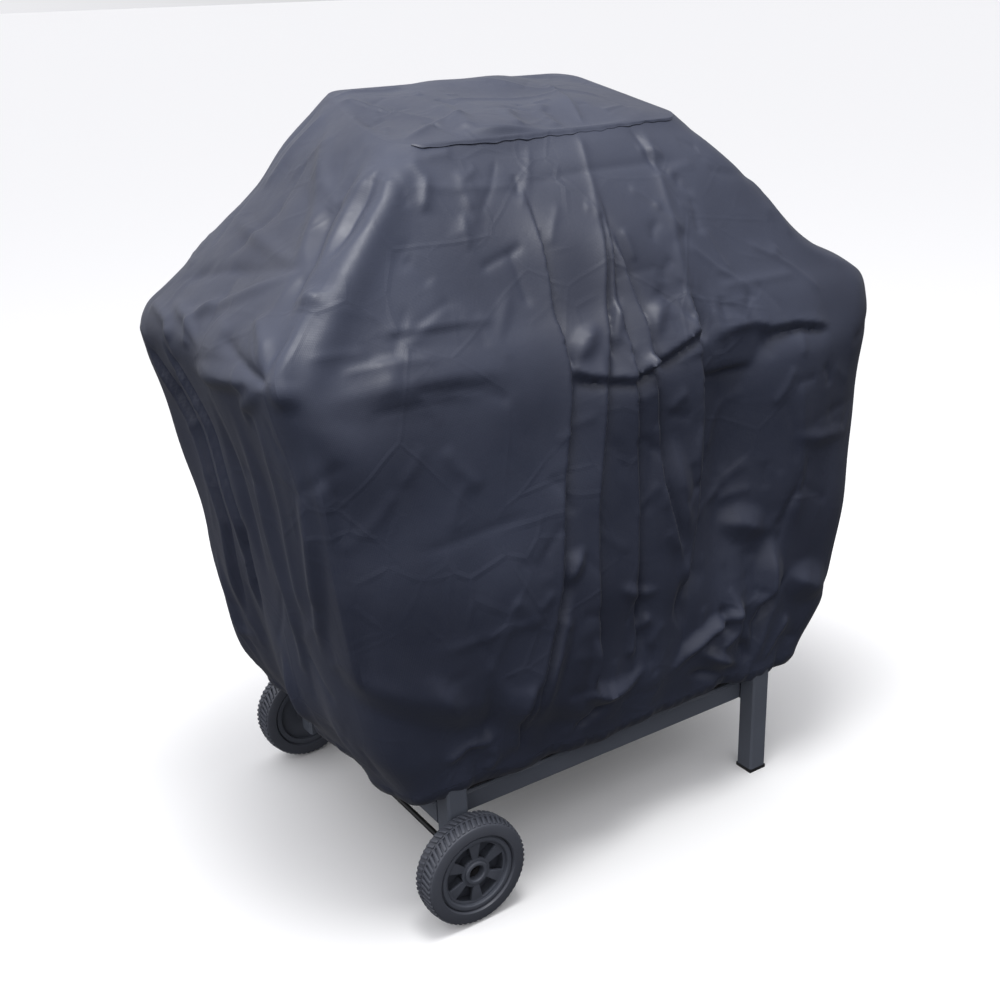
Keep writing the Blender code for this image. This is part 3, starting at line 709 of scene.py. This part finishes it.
def broadShape(points, normals):
    # the large forms, on top of the sections
    spec = formSpec
    x, _, z = points.T
    facing = smoothStep((-normals[:, 1] - 0.2) / 0.6)
    move = np.zeros(len(points))
    hollow = np.exp(-((x - spec["hollowAt"]) / spec["hollowWidth"]) ** 2)
    hollow = hollow * smoothStep((0.735 - z) / 0.03) * smoothStep((z - 0.30) / 0.22)
    move -= facing * spec["hollowDepth"] * hollow
    full = smoothStep((0.735 - z) / 0.06) * smoothStep((z - 0.26) / 0.25)
    full = spec["fullHeight"] * full * np.exp(-((x - spec["fullAt"]) / spec["fullWidth"]) ** 2)
    move += facing * full
    cutLine = np.interp(x, spec["tuckAcross"], spec["tuckUp"])
    above = smoothStep((z - cutLine) / 0.055) * smoothStep((0.70 - z) / 0.25)
    above = above * smoothStep((0.02 - x) / 0.16)
    move += facing * spec["tuckSwell"] * above
    low = smoothStep((heights[0] + hemSpec["tuckHeight"] - z) / hemSpec["tuckHeight"])
    move -= hemSpec["tuckIn"] * low
    slope = smoothStep((z - 0.80) / 0.05) * smoothStep((0.985 - z) / 0.05)
    move -= slope * (1 - facing) * spec["slopeSag"]
    handle = np.exp(-(x / spec["handleHalf"]) ** 4) * np.exp(-((z - spec["handleUp"]) / 0.055) ** 2)
    move += facing * spec["handleRoom"] * handle
    return move


def keptOut():
    # boxes the cloth may not fall into, each reaching inward to the middle of the grill
    boxes = []
    for name in ("leg_front_left", "leg_front_right", "leg_back_left", "leg_back_right",
                 "high_rail_front", "high_rail_back", "lid_handle",
                 "shelf_slat_left_1", "shelf_slat_left_2", "shelf_slat_right_1",
                 "shelf_slat_right_2", "shelf_arm_left_front", "shelf_arm_right_front"):
        low, high = (np.array(p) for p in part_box(name))
        sides = "x" if name.startswith("shelf") else "y"
        boxes.append((low, high, sides))
    return boxes


restSpec = {
    "gap": 0.0035,
    "lastGap": 0.0025,
    "margin": 0.012,          # the push reaches this far past a box's sides
    "ease": 0.010,            # and fades over this distance
    "depth": 0.06,            # points further inside than this belong to another side
    "moved": 0.0008,          # a point pushed further than this is smoothed again
    "rounds": 3,
    "kept": 0.4,              # its own share in that smoothing
}


def restOnFrame(points, gap):
    spec = restSpec
    for low, high, sides in keptOut():
        axis = 0 if sides == "x" else 1
        other = 1 - axis
        over = np.minimum(points[:, other] - low[other], high[other] - points[:, other]) + spec["margin"]
        tall = np.minimum(points[:, 2] - low[2], high[2] - points[:, 2]) + spec["margin"]
        hold = smoothStep(over / spec["ease"]) * smoothStep(tall / spec["ease"])
        outer = 1 if low[axis] + high[axis] > 0 else -1
        limit = (high[axis] if outer > 0 else -low[axis]) + gap
        short = np.maximum(limit - outer * points[:, axis], 0)
        near = outer * points[:, axis] > limit - spec["depth"]
        points[:, axis] += outer * short * hold * near


def skirtFolds(points, columnShare):
    # hanging folds that grow towards the hem
    z = points[:, 2]
    growth = smoothStep((0.66 - z) / 0.45)
    phase = columnShare * 2 * math.pi
    wave = np.sin(19 * phase + 1.7 * np.sin(3 * phase))
    wave = wave + 0.6 * np.sin(31 * phase + 2.1 * np.sin(2 * phase + 1))
    return 0.0028 * growth * wave


ringSpec = {
    "creaseSeed": 7,
    "creases": 420,
    "waveSeed": 3,
    "waveReach": 0.0022,
    "waveLengths": (0.10, 0.30),
    "fixedRows": 6,           # the seam under the top stays in place
    "own": 0.58,              # weights that soften the steps of the grid
    "beside": 0.21,
    "above": 0.105,
}


def beside(grid):
    return np.roll(grid, 1, 1) + np.roll(grid, -1, 1)


def smoothPushed(shaped, pushed):
    # softens the cloth round the places that the frame pushed out
    spec = restSpec
    for _ in range(spec["rounds"]):
        around = shaped.copy()
        around[1:-1] = (beside(shaped)[1:-1] + shaped[:-2] + shaped[2:]) / 4
        touched = pushed.copy()
        for axis in (0, 1):
            touched |= np.roll(pushed, 1, axis) | np.roll(pushed, -1, axis)
        shaped = np.where(touched, spec["kept"] * shaped + (1 - spec["kept"]) * around, shaped)
    return shaped


def shapedRing():
    spec = ringSpec
    rows, columns = ring.shape[:2]
    points, normals = ring.reshape(-1, 3), ringNormals.reshape(-1, 3)
    share = np.tile(np.arange(columns) / columns, rows)
    move = np.zeros(len(points))
    pressFolds(points, normals, move, chosenFolds())
    pressFolds(points, normals, move, smallCreases(spec["creaseSeed"], spec["creases"]))
    move += gentleWaves(points, spec["waveSeed"], spec["waveReach"], *spec["waveLengths"])
    move += broadShape(points, normals) + skirtFolds(points, share)
    rowFade = np.ones((rows, 1))
    rowFade[-spec["fixedRows"]:, 0] = np.linspace(1, 0, spec["fixedRows"])
    move = (move.reshape(rows, columns) * rowFade).reshape(-1)
    shaped = points + normals * move[:, None]
    hemWave = np.sin(2 * math.pi * (share * 5 + 0.1)) + 0.6 * np.sin(2 * math.pi * (share * 13))
    lowShare = smoothStep((0.30 - points[:, 2]) / 0.11)
    shaped[:, 2] += 0.5 * hemSpec["wave"] * hemWave * lowShare
    shaped = shaped.reshape(rows, columns, 3)
    shaped[1:-1] = (spec["own"] * shaped[1:-1] + spec["beside"] * beside(shaped)[1:-1] / 2
                    + spec["above"] * (shaped[:-2] + shaped[2:]))
    shaped = shaped.reshape(-1, 3)
    before = shaped.copy()
    restOnFrame(shaped, restSpec["gap"])
    pushed = np.linalg.norm(shaped - before, axis=1).reshape(rows, columns, 1) > restSpec["moved"]
    shaped = smoothPushed(shaped.reshape(rows, columns, 3), pushed).reshape(-1, 3)
    restOnFrame(shaped, restSpec["lastGap"])
    return shaped.reshape(rows, columns, 3)


coverRing = shapedRing()
print("cover folded")


def clothGrid(name, grid, thick, mat):
    # a sheet on this grid of points, its UVs in metres along the cloth
    rows, columns = grid.shape[:2]
    deselectAll()
    bpy.ops.mesh.primitive_grid_add(x_subdivisions=columns - 1, y_subdivisions=rows - 1, size=1)
    sheet = bpy.context.object
    sheet.name = sheet.data.name = name
    mesh = sheet.data
    mesh.vertices.foreach_set("co", np.ascontiguousarray(grid, np.float32).reshape(-1))
    width = np.linalg.norm(np.diff(grid, axis=1), axis=-1).sum(1).max()
    length = np.linalg.norm(np.diff(grid, axis=0), axis=-1).sum(0).max()
    layer = mesh.uv_layers.active.data
    flat = np.zeros(len(layer) * 2)
    layer.foreach_get("uv", flat)
    flat = flat.reshape(-1, 2)
    across = np.linalg.norm(np.diff(grid, axis=1), axis=-1).mean(0).cumsum()
    shares = np.concatenate(([0], across)) / across[-1]
    flat[:, 0] = np.interp(flat[:, 0], np.linspace(0, 1, columns), shares)
    flat = flat * (width, length)
    layer.foreach_set("uv", flat.reshape(-1))
    mesh.update()
    mesh.materials.append(mat)
    solid = sheet.modifiers.new("Thickness", "SOLIDIFY")
    solid.thickness = thick
    solid.offset = -1.0
    applyModifiers(sheet)
    bpy.ops.object.shade_smooth_by_angle(angle=math.radians(65))
    return sheet, float(width), float(length)


def declareCloth(sheet, node):
    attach(sheet, "cover")
    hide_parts(node)


def buildPanels():
    for k, name in enumerate(panelNames):
        columns = np.arange(starts[k], starts[k + 1] + 1) % coverRing.shape[1]
        grid = coverRing[:, columns]
        sheet, width, length = clothGrid(f"cover{name.title()}", grid, coverSpec["thick"], clothMat)
        declareCloth(sheet, f"cover_{name}_panel")
        print("panel", name, grid.shape, round(width, 3), round(length, 3))


topFolds = (
    ("crease", 1.8, 5, (156, 150), (120, 60), (83, -45)),
    ("crease", 1.5, 4, (-50, 100), (50, 85), (130, 80)),
    ("crease", 2.2, 6, (-200, -40), (-130, 0), (-60, 20)),
    ("crease", 2.0, 6, (-205, 190), (-150, 100), (-110, 0)),
    ("fold", 3.0, 14, (-100, -40), (-80, 20), (-70, 80)),
    ("fold", 2.4, 11, (-20, -45), (-10, 0), (10, 30)),
    ("fold", 2.2, 10, (40, -45), (50, 10), (70, 40)),
    ("crease", 2.0, 5, (-190, 180), (-120, 190), (-50, 200)),
    ("crease", 1.2, 5, (50, 200), (120, 120), (200, 50)),
)


def buildTop():
    rim = coverRing[-1]
    sides = []
    for k in range(4):
        columns = np.arange(starts[k], starts[k + 1] + 1) % coverRing.shape[1]
        sides.append(rim[columns])
    front, right, back, left = sides
    back, left = back[::-1], left[::-1]
    u = np.linspace(0, 1, len(front))[None, :, None]
    v = np.linspace(0, 1, len(right))[:, None, None]
    grid = ((1 - v) * front[None] + v * back[None] + (1 - u) * left[:, None] + u * right[:, None]
            - (1 - u) * (1 - v) * front[0] - u * (1 - v) * front[-1]
            - (1 - u) * v * back[0] - u * v * back[-1])
    bulge = (np.sin(math.pi * u) * np.sin(math.pi * v))[..., 0]
    inside = smoothStep(bulge / 0.12)
    grid[..., 2] += coverSpec["topCrown"] * bulge ** 0.6
    points = grid.reshape(-1, 3)
    normals = gridNormals(grid, False).reshape(-1, 3)
    flatPoints = points * (1, 1, 0)
    up = np.tile((0.0, 0.0, 1.0), (len(points), 1))
    move = np.zeros(len(points))
    pressed = [([(mm(x), mm(y), 0) for x, y in line], kind, mm(a), mm(w)) for kind, a, w, *line in topFolds]
    pressFolds(flatPoints, up, move, pressed)
    random = np.random.default_rng(11)
    small = []
    for _ in range(40):
        x, y = random.uniform(-0.2, 0.2), random.uniform(-0.03, 0.2)
        angle, length = random.uniform(0, math.pi), random.uniform(0.02, 0.08)
        half = np.array((math.cos(angle), math.sin(angle), 0)) * length / 2
        middle = np.array((x, y, 0))
        small.append(([middle - half, middle + half], "crease", mm(random.uniform(-1.1, 1.1)), 0.004))
    pressFolds(flatPoints, up, move, small)
    move = 1.7 * move + gentleWaves(points, 5, 0.0026, 0.09, 0.22)
    grid = (points + normals * (move * inside.reshape(-1))[:, None]).reshape(grid.shape)
    sheet, width, length = clothGrid("coverTop", grid, coverSpec["thick"], clothMat)
    declareCloth(sheet, "cover_top_panel")
    print("top panel", grid.shape)


def outward():
    # level direction away from the cover at the bottom row
    way = ringNormals[0] * (1, 1, 0)
    return way / np.linalg.norm(way, axis=1, keepdims=True)


def buildHem():
    # the doubled edge: a band that carries on down from the skirt and rolls in underneath
    spec = hemSpec
    bottom = coverRing[0]
    way = outward()
    share = np.arange(len(bottom)) / len(bottom)
    pucker = sum(height * np.sin(2 * math.pi * share * count) for height, count in spec["puckers"])
    rows = []
    for k in range(spec["rows"]):
        t = k / (spec["rows"] - 1)
        out = spec["stand"] - spec["rollIn"] * t * t
        drop = spec["band"] * (t - spec["overlap"])
        rows.append(bottom + way * (out + pucker * math.sin(math.pi * t))[:, None] - np.array((0, 0, drop)))
    grid = np.stack(rows[::-1])
    grid = np.concatenate((grid, grid[:, :1]), 1)
    # the hem gets the darkened cloth, painted shade
    sheet, width, length = clothGrid("coverHem", grid, spec["thick"], hemShadedMat)
    makeActive(sheet)
    bpy.ops.object.mode_set(mode="EDIT")
    bpy.ops.mesh.select_all(action="SELECT")
    bpy.ops.mesh.remove_doubles(threshold=0.00002)
    bpy.ops.object.mode_set(mode="OBJECT")
    declareCloth(sheet, "cover_hem")
    print("hem", grid.shape)


flapSpec = {
    "width": 0.0070,
    "least": 0.002,
    "narrowFrom": 0.55,       # share of its length where it starts to narrow
    "narrowBy": 0.75,
    "ripples": ((0.0010, 41, 0), (0.0008, 97, 1)),
    "lift": 0.0010,
    "stand": 0.0008,
    "rows": 6,
    "thick": 0.0006,
}


def buildSeamFlap():
    # the lapped seam allowance along the top's front edge, narrowing to the right
    spec = flapSpec
    columns = np.arange(starts[0] + 5, starts[1] - 4)
    edge, below = coverRing[-1, columns], coverRing[-9, columns]
    down = (below - edge) / np.linalg.norm(below - edge, axis=1, keepdims=True)
    out = ringNormals[-4, columns]
    t = np.linspace(0, 1, len(columns))
    narrow = smoothStep((t - spec["narrowFrom"]) / (1 - spec["narrowFrom"]))
    width = spec["width"] * smoothStep(t / 0.03) * (1 - spec["narrowBy"] * narrow) + spec["least"]
    width = width + sum(height * np.sin(t * rate + late) for height, rate, late in spec["ripples"])
    rows = []
    for k in range(spec["rows"]):
        s = k / (spec["rows"] - 1)
        lift = spec["lift"] * math.sin(math.pi * min(1, 0.25 + s * 0.9)) + spec["stand"]
        rows.append(edge + down * (width * s)[:, None] + out * lift)
    grid = np.stack(rows[::-1])
    sheet, along, across = clothGrid("topSeamFlap", grid, spec["thick"], clothMat)
    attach(sheet, "cover")
    print("seam flap")


tyreSpec = {
    "radius": 0.0779,
    "base": 0.0738,       # floor between the lugs
    "inner": 0.0565,
    "wall": 0.0705,       # where the flat side wall ends
    "edge": 0.0730,
    "rib": 0.0030,        # height of the rib between the two rows of lugs
    "half": 0.0198,       # half its width
    "shoulder": 0.0165,
    "lugs": 58,
    "lugThick": 0.0042,
    "slant": 0.22,        # radians a lug leans along the tread
    "segments": 174,
}


def lathe(profile, segments):
    # a closed ring turned about the Y axis
    angles = np.linspace(0, 2 * math.pi, segments, endpoint=False)
    profile = np.array(profile)
    radius, level = profile.T
    points = np.stack([np.stack((radius * math.cos(a), level, radius * math.sin(a)), 1) for a in angles])
    count = len(profile)
    faces = [(k * count + j, k * count + (j + 1) % count,
              (k + 1) % segments * count + (j + 1) % count, (k + 1) % segments * count + j)
             for k in range(segments) for j in range(count)]
    return points.reshape(-1, 3), faces


def solidOf(name, parts, centre, mat):
    # one mesh of these closed parts, its faces turned outward
    points, faces, offset = [], [], 0
    for partPoints, partFaces in parts:
        points.append(partPoints + centre)
        faces += [tuple(v + offset for v in face) for face in partFaces]
        offset += len(partPoints)
    mesh = bpy.data.meshes.new(name)
    mesh.from_pydata(np.concatenate(points).tolist(), [], faces)
    solid = bpy.data.objects.new(name, mesh)
    bpy.context.scene.collection.objects.link(solid)
    mesh.materials.append(mat)
    makeActive(solid)
    bpy.ops.object.mode_set(mode="EDIT")
    bpy.ops.mesh.select_all(action="SELECT")
    bpy.ops.mesh.normals_make_consistent(inside=False)
    bpy.ops.object.mode_set(mode="OBJECT")
    return solid


def joinWheel(solid, end, piece):
    bpy.ops.object.shade_smooth_by_angle(angle=math.radians(35))
    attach(solid, f"wheel_{end}")
    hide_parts(f"wheel_{piece}_{end}")


def lugBlock():
    # one tread block, its bevels applied, standing on the tread's floor
    spec = tyreSpec
    deselectAll()
    bpy.ops.mesh.primitive_cube_add(size=1)
    block = bpy.context.object
    block.scale = (spec["lugThick"], spec["shoulder"] - 0.0012, spec["radius"] - spec["base"] + 0.002)
    settle(block)
    bevel = block.modifiers.new("Edges", "BEVEL")
    bevel.width = 0.0006
    bevel.segments = 2
    applyModifiers(block)
    points = np.array([v.co for v in block.data.vertices])
    faces = [tuple(f.vertices) for f in block.data.polygons]
    bpy.data.objects.remove(block)
    return points, faces


def buildTyre(end, centre):
    spec = tyreSpec
    b, h, i = spec["base"], spec["half"], spec["inner"]
    wall, edge, rib = spec["wall"], spec["edge"], b + spec["rib"]
    profile = ((i, -h + 0.003), (i + 0.0018, -h), (wall, -h), (edge, -h + 0.0012), (b, -spec["shoulder"]),
               (b, -0.0012), (rib, -0.0008), (rib, 0.0008), (b, 0.0012),
               (b, spec["shoulder"]), (edge, h - 0.0012), (wall, h), (i + 0.0018, h), (i, h - 0.003))
    parts = [lathe(profile, spec["segments"])]
    lug, lugFaces = lugBlock()
    for sign in (-1, 1):
        for k in range(spec["lugs"]):
            turn = (k + (0.5 if sign > 0 else 0)) * 2 * math.pi / spec["lugs"]
            p = lug.copy()
            p[:, 1] += sign * (spec["shoulder"] / 2 + 0.0012)
            lean = turn + spec["slant"] * np.abs(p[:, 1]) / spec["shoulder"] * 0.35
            reach = p[:, 2] + (spec["radius"] + spec["base"] - 0.002) / 2
            drop = 0.0024 * smoothStep((np.abs(p[:, 1]) - 0.010) / 0.008)
            reach = np.where(p[:, 2] > 0, reach - drop, reach)
            angle = lean + p[:, 0] / spec["radius"]
            parts.append((np.stack((reach * np.cos(angle), p[:, 1], reach * np.sin(angle)), 1), lugFaces))
    tyre = solidOf(f"tyre{end.title()}", parts, centre, tyreMat)
    joinWheel(tyre, end, "tyre")


rimSpec = {
    "barrel": (0.0478, 0.0556),   # inner and outer radius
    "windowIn": 0.0215,
    "windowOut": 0.0440,
    "spokeIn": 0.0088,            # width of the web between two windows, near the hub and near the rim
    "spokeOut": 0.0180,
    "webDepth": 0.0050,           # from the wheel's outer face down to the web
    "webThick": 0.0040,
    "hub": 0.0172,
    "bore": 0.0112,
    "axleHole": 0.0052,
    "windows": 6,
    "wall": (-0.006, -0.009),     # outer and inner face of the wall behind the windows
    "ribHalf": 0.0011,
    "segments": 96,
    "bevel": 0.0004,
}


def polarBlock(radii, spans, heights, steps=8):
    # a block between two radii whose inner and outer ends span these angles
    (inner, outer), ((i0, i1), (o0, o1)), (y0, y1) = radii, spans, heights
    points, faces = [], []
    for k in range(steps + 1):
        t = k / steps
        angleIn, angleOut = i0 + (i1 - i0) * t, o0 + (o1 - o0) * t
        corners = ((inner, angleIn, y0), (outer, angleOut, y0), (outer, angleOut, y1), (inner, angleIn, y1))
        for radius, angle, y in corners:
            points.append((radius * math.cos(angle), y, radius * math.sin(angle)))
        if k:
            b = 4 * k
            faces += [(b - 4 + j, b - 4 + (j + 1) % 4, b + (j + 1) % 4, b + j) for j in range(4)]
    last = 4 * steps
    return np.array(points), faces + [(3, 2, 1, 0), (last, last + 1, last + 2, last + 3)]


def buildRim(end, centre):
    spec = rimSpec
    out = -1 if end == "front" else 1
    face = tyreSpec["half"] - 0.0022
    web = face - spec["webDepth"]
    parts = []

    def addRing(*profile):
        parts.append(lathe([(r, out * y) for r, y in profile], spec["segments"]))

    inner, outer = spec["barrel"]
    hub, bore, axleHole = spec["hub"], spec["bore"], spec["axleHole"]
    webBack = web - spec["webThick"]
    wallFace, wallBack = spec["wall"]
    addRing((inner, -face), (outer, -face), (outer, face - 0.0022), (outer - 0.0012, face - 0.0022),
            (outer - 0.0016, face), (inner + 0.0012, face), (inner, face - 0.0012))
    for near, far in ((spec["windowOut"], inner + 0.0005), (hub - 0.001, spec["windowIn"])):
        addRing((near, webBack), (far, webBack), (far, web), (near, web))
    addRing((bore, -0.010), (hub, -0.010), (hub, face - 0.003), (hub - 0.0014, face - 0.0018),
            (bore + 0.0010, face - 0.0018), (bore, face - 0.003))
    addRing((axleHole, -0.004), (bore + 0.0004, -0.004), (bore + 0.0004, 0.000), (axleHole, 0.000))
    # the wall behind the windows
    near, far = hub - 0.0005, inner + 0.0004
    addRing((near, wallBack), (far, wallBack), (far, wallFace), (near, wallFace))
    pitch = 2 * math.pi / spec["windows"]
    halfIn = spec["spokeIn"] / 2 / spec["windowIn"]
    halfOut = spec["spokeOut"] / 2 / spec["windowOut"]
    for k in range(spec["windows"]):
        middle = (k + 0.5) * pitch
        parts.append(polarBlock((spec["windowIn"] - 0.0004, spec["windowOut"] + 0.0004),
                                ((middle - halfIn, middle + halfIn), (middle - halfOut, middle + halfOut)),
                                sorted((out * web, out * webBack))))
        rib = spec["ribHalf"] / spec["windowIn"], spec["ribHalf"] / spec["windowOut"]
        parts.append(polarBlock((spec["windowIn"] - 0.0008, spec["windowOut"] + 0.0008),
                                ((middle - rib[0], middle + rib[0]), (middle - rib[1], middle + rib[1])),
                                sorted((out * (web - 0.001), out * -0.007)), 2))
    rim = solidOf(f"rim{end.title()}", parts, centre, rimMat)
    bevel = rim.modifiers.new("Edges", "BEVEL")
    bevel.width = spec["bevel"]
    bevel.segments = 2
    bevel.limit_method = "ANGLE"
    applyModifiers(rim)
    joinWheel(rim, end, "rim")


for end in ("front", "back"):
    low, high = (np.array(p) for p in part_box(f"wheel_tyre_{end}"))
    buildTyre(end, (low + high) / 2)
    buildRim(end, (low + high) / 2)
print("wheels built")
buildPanels()
buildTop()
buildHem()
buildSeamFlap()


cameraSpec = {
    "place": (-1.0057, -1.4828, 1.1764),
    "turn": 32.97,        # degrees right of straight ahead
    "down": 21.79,
    "roll": -1.97,
    "lens": 46.55,
}


def buildCamera():
    spec = cameraSpec
    turn, down, roll = (math.radians(spec[k]) for k in ("turn", "down", "roll"))
    forward = Vector((math.sin(turn) * math.cos(down), math.cos(turn) * math.cos(down), -math.sin(down)))
    right = Vector((math.cos(turn), -math.sin(turn), 0))
    up = right.cross(forward)
    side = math.cos(roll) * right + math.sin(roll) * up
    over = -math.sin(roll) * right + math.cos(roll) * up
    axes = Matrix((side, over, -forward)).transposed().to_4x4()
    data = bpy.data.cameras.new("camera")
    data.lens = spec["lens"]
    data.sensor_width = 36
    camera = bpy.data.objects.new("camera", data)
    camera.matrix_world = Matrix.Translation(spec["place"]) @ axes
    bpy.context.scene.collection.objects.link(camera)
    bpy.context.scene.camera = camera


def areaLight(name, place, target, size, power):
    data = bpy.data.lights.new(name, "AREA")
    data.size = size
    data.energy = power
    light = bpy.data.objects.new(name, data)
    light.location = place
    light.rotation_euler = (Vector(target) - Vector(place)).to_track_quat("-Z", "Y").to_euler()
    bpy.context.scene.collection.objects.link(light)


studioSpec = {
    "floorSize": 260,
    "zenith": 1.25,       # sky strength straight up
    "horizon": 0.33,
    "below": 0.07,
    "sides": (3.1, 1.0),  # strength on the left and on the right
    "backdrop": 0.95,     # a narrow band at the level of the horizon
    "lampPlace": (-0.3, -0.5, 3.2),
    "lampTarget": (0, 0, 0.7),
    "lampSize": 0.9,
    "lampPower": 50,
}


def skyNodes(tree):
    spec = studioSpec
    coords = tree.nodes.new("ShaderNodeTexCoord")
    split = tree.nodes.new("ShaderNodeSeparateXYZ")
    tree.links.new(coords.outputs["Generated"], split.inputs["Vector"])
    ramp = tree.nodes.new("ShaderNodeValToRGB").color_ramp
    ramp.interpolation = "LINEAR"
    stops = ((0.0, spec["below"]), (0.488, spec["below"]),
             (0.490, spec["backdrop"]), (0.508, spec["backdrop"]),
             (0.512, spec["horizon"]), (0.66, 0.45 * (spec["horizon"] + spec["zenith"])),
             (1.0, spec["zenith"]))
    while len(ramp.elements) < len(stops):
        ramp.elements.new(0.5)
    for element, (place, level) in zip(ramp.elements, stops):
        element.position = place
        element.color = (level / 2, level / 2, level / 2 * 1.03, 1)
    rampNode = tree.nodes[-1]
    tree.links.new(mapRange(tree, split.outputs["Z"], -1, 1, 0, 1), rampNode.inputs["Fac"])
    back = tree.nodes["Background"]
    tree.links.new(rampNode.outputs["Color"], back.inputs["Color"])
    # more light comes from the left than from the right
    tree.links.new(mapRange(tree, split.outputs["X"], -0.9, 0.9, *spec["sides"]), back.inputs["Strength"])


def buildStudio():
    spec = studioSpec
    deselectAll()
    bpy.ops.mesh.primitive_plane_add(size=spec["floorSize"])
    floor = bpy.context.object
    floor.name = "floor"
    mat, _, _ = newMaterial("paleFloor", (0.93, 0.93, 0.93), 0.9)
    floor.data.materials.append(mat)
    floor.visible_diffuse = False     # the floor sends no light up at the cloth
    floor.visible_glossy = False
    world = bpy.data.worlds.new("studioWorld")
    bpy.context.scene.world = world
    world.use_nodes = True
    skyNodes(world.node_tree)
    areaLight("overhead", spec["lampPlace"], spec["lampTarget"], spec["lampSize"], spec["lampPower"])
    bpy.context.scene.view_settings.view_transform = "Standard"


buildCamera()
buildStudio()
print("studio set")
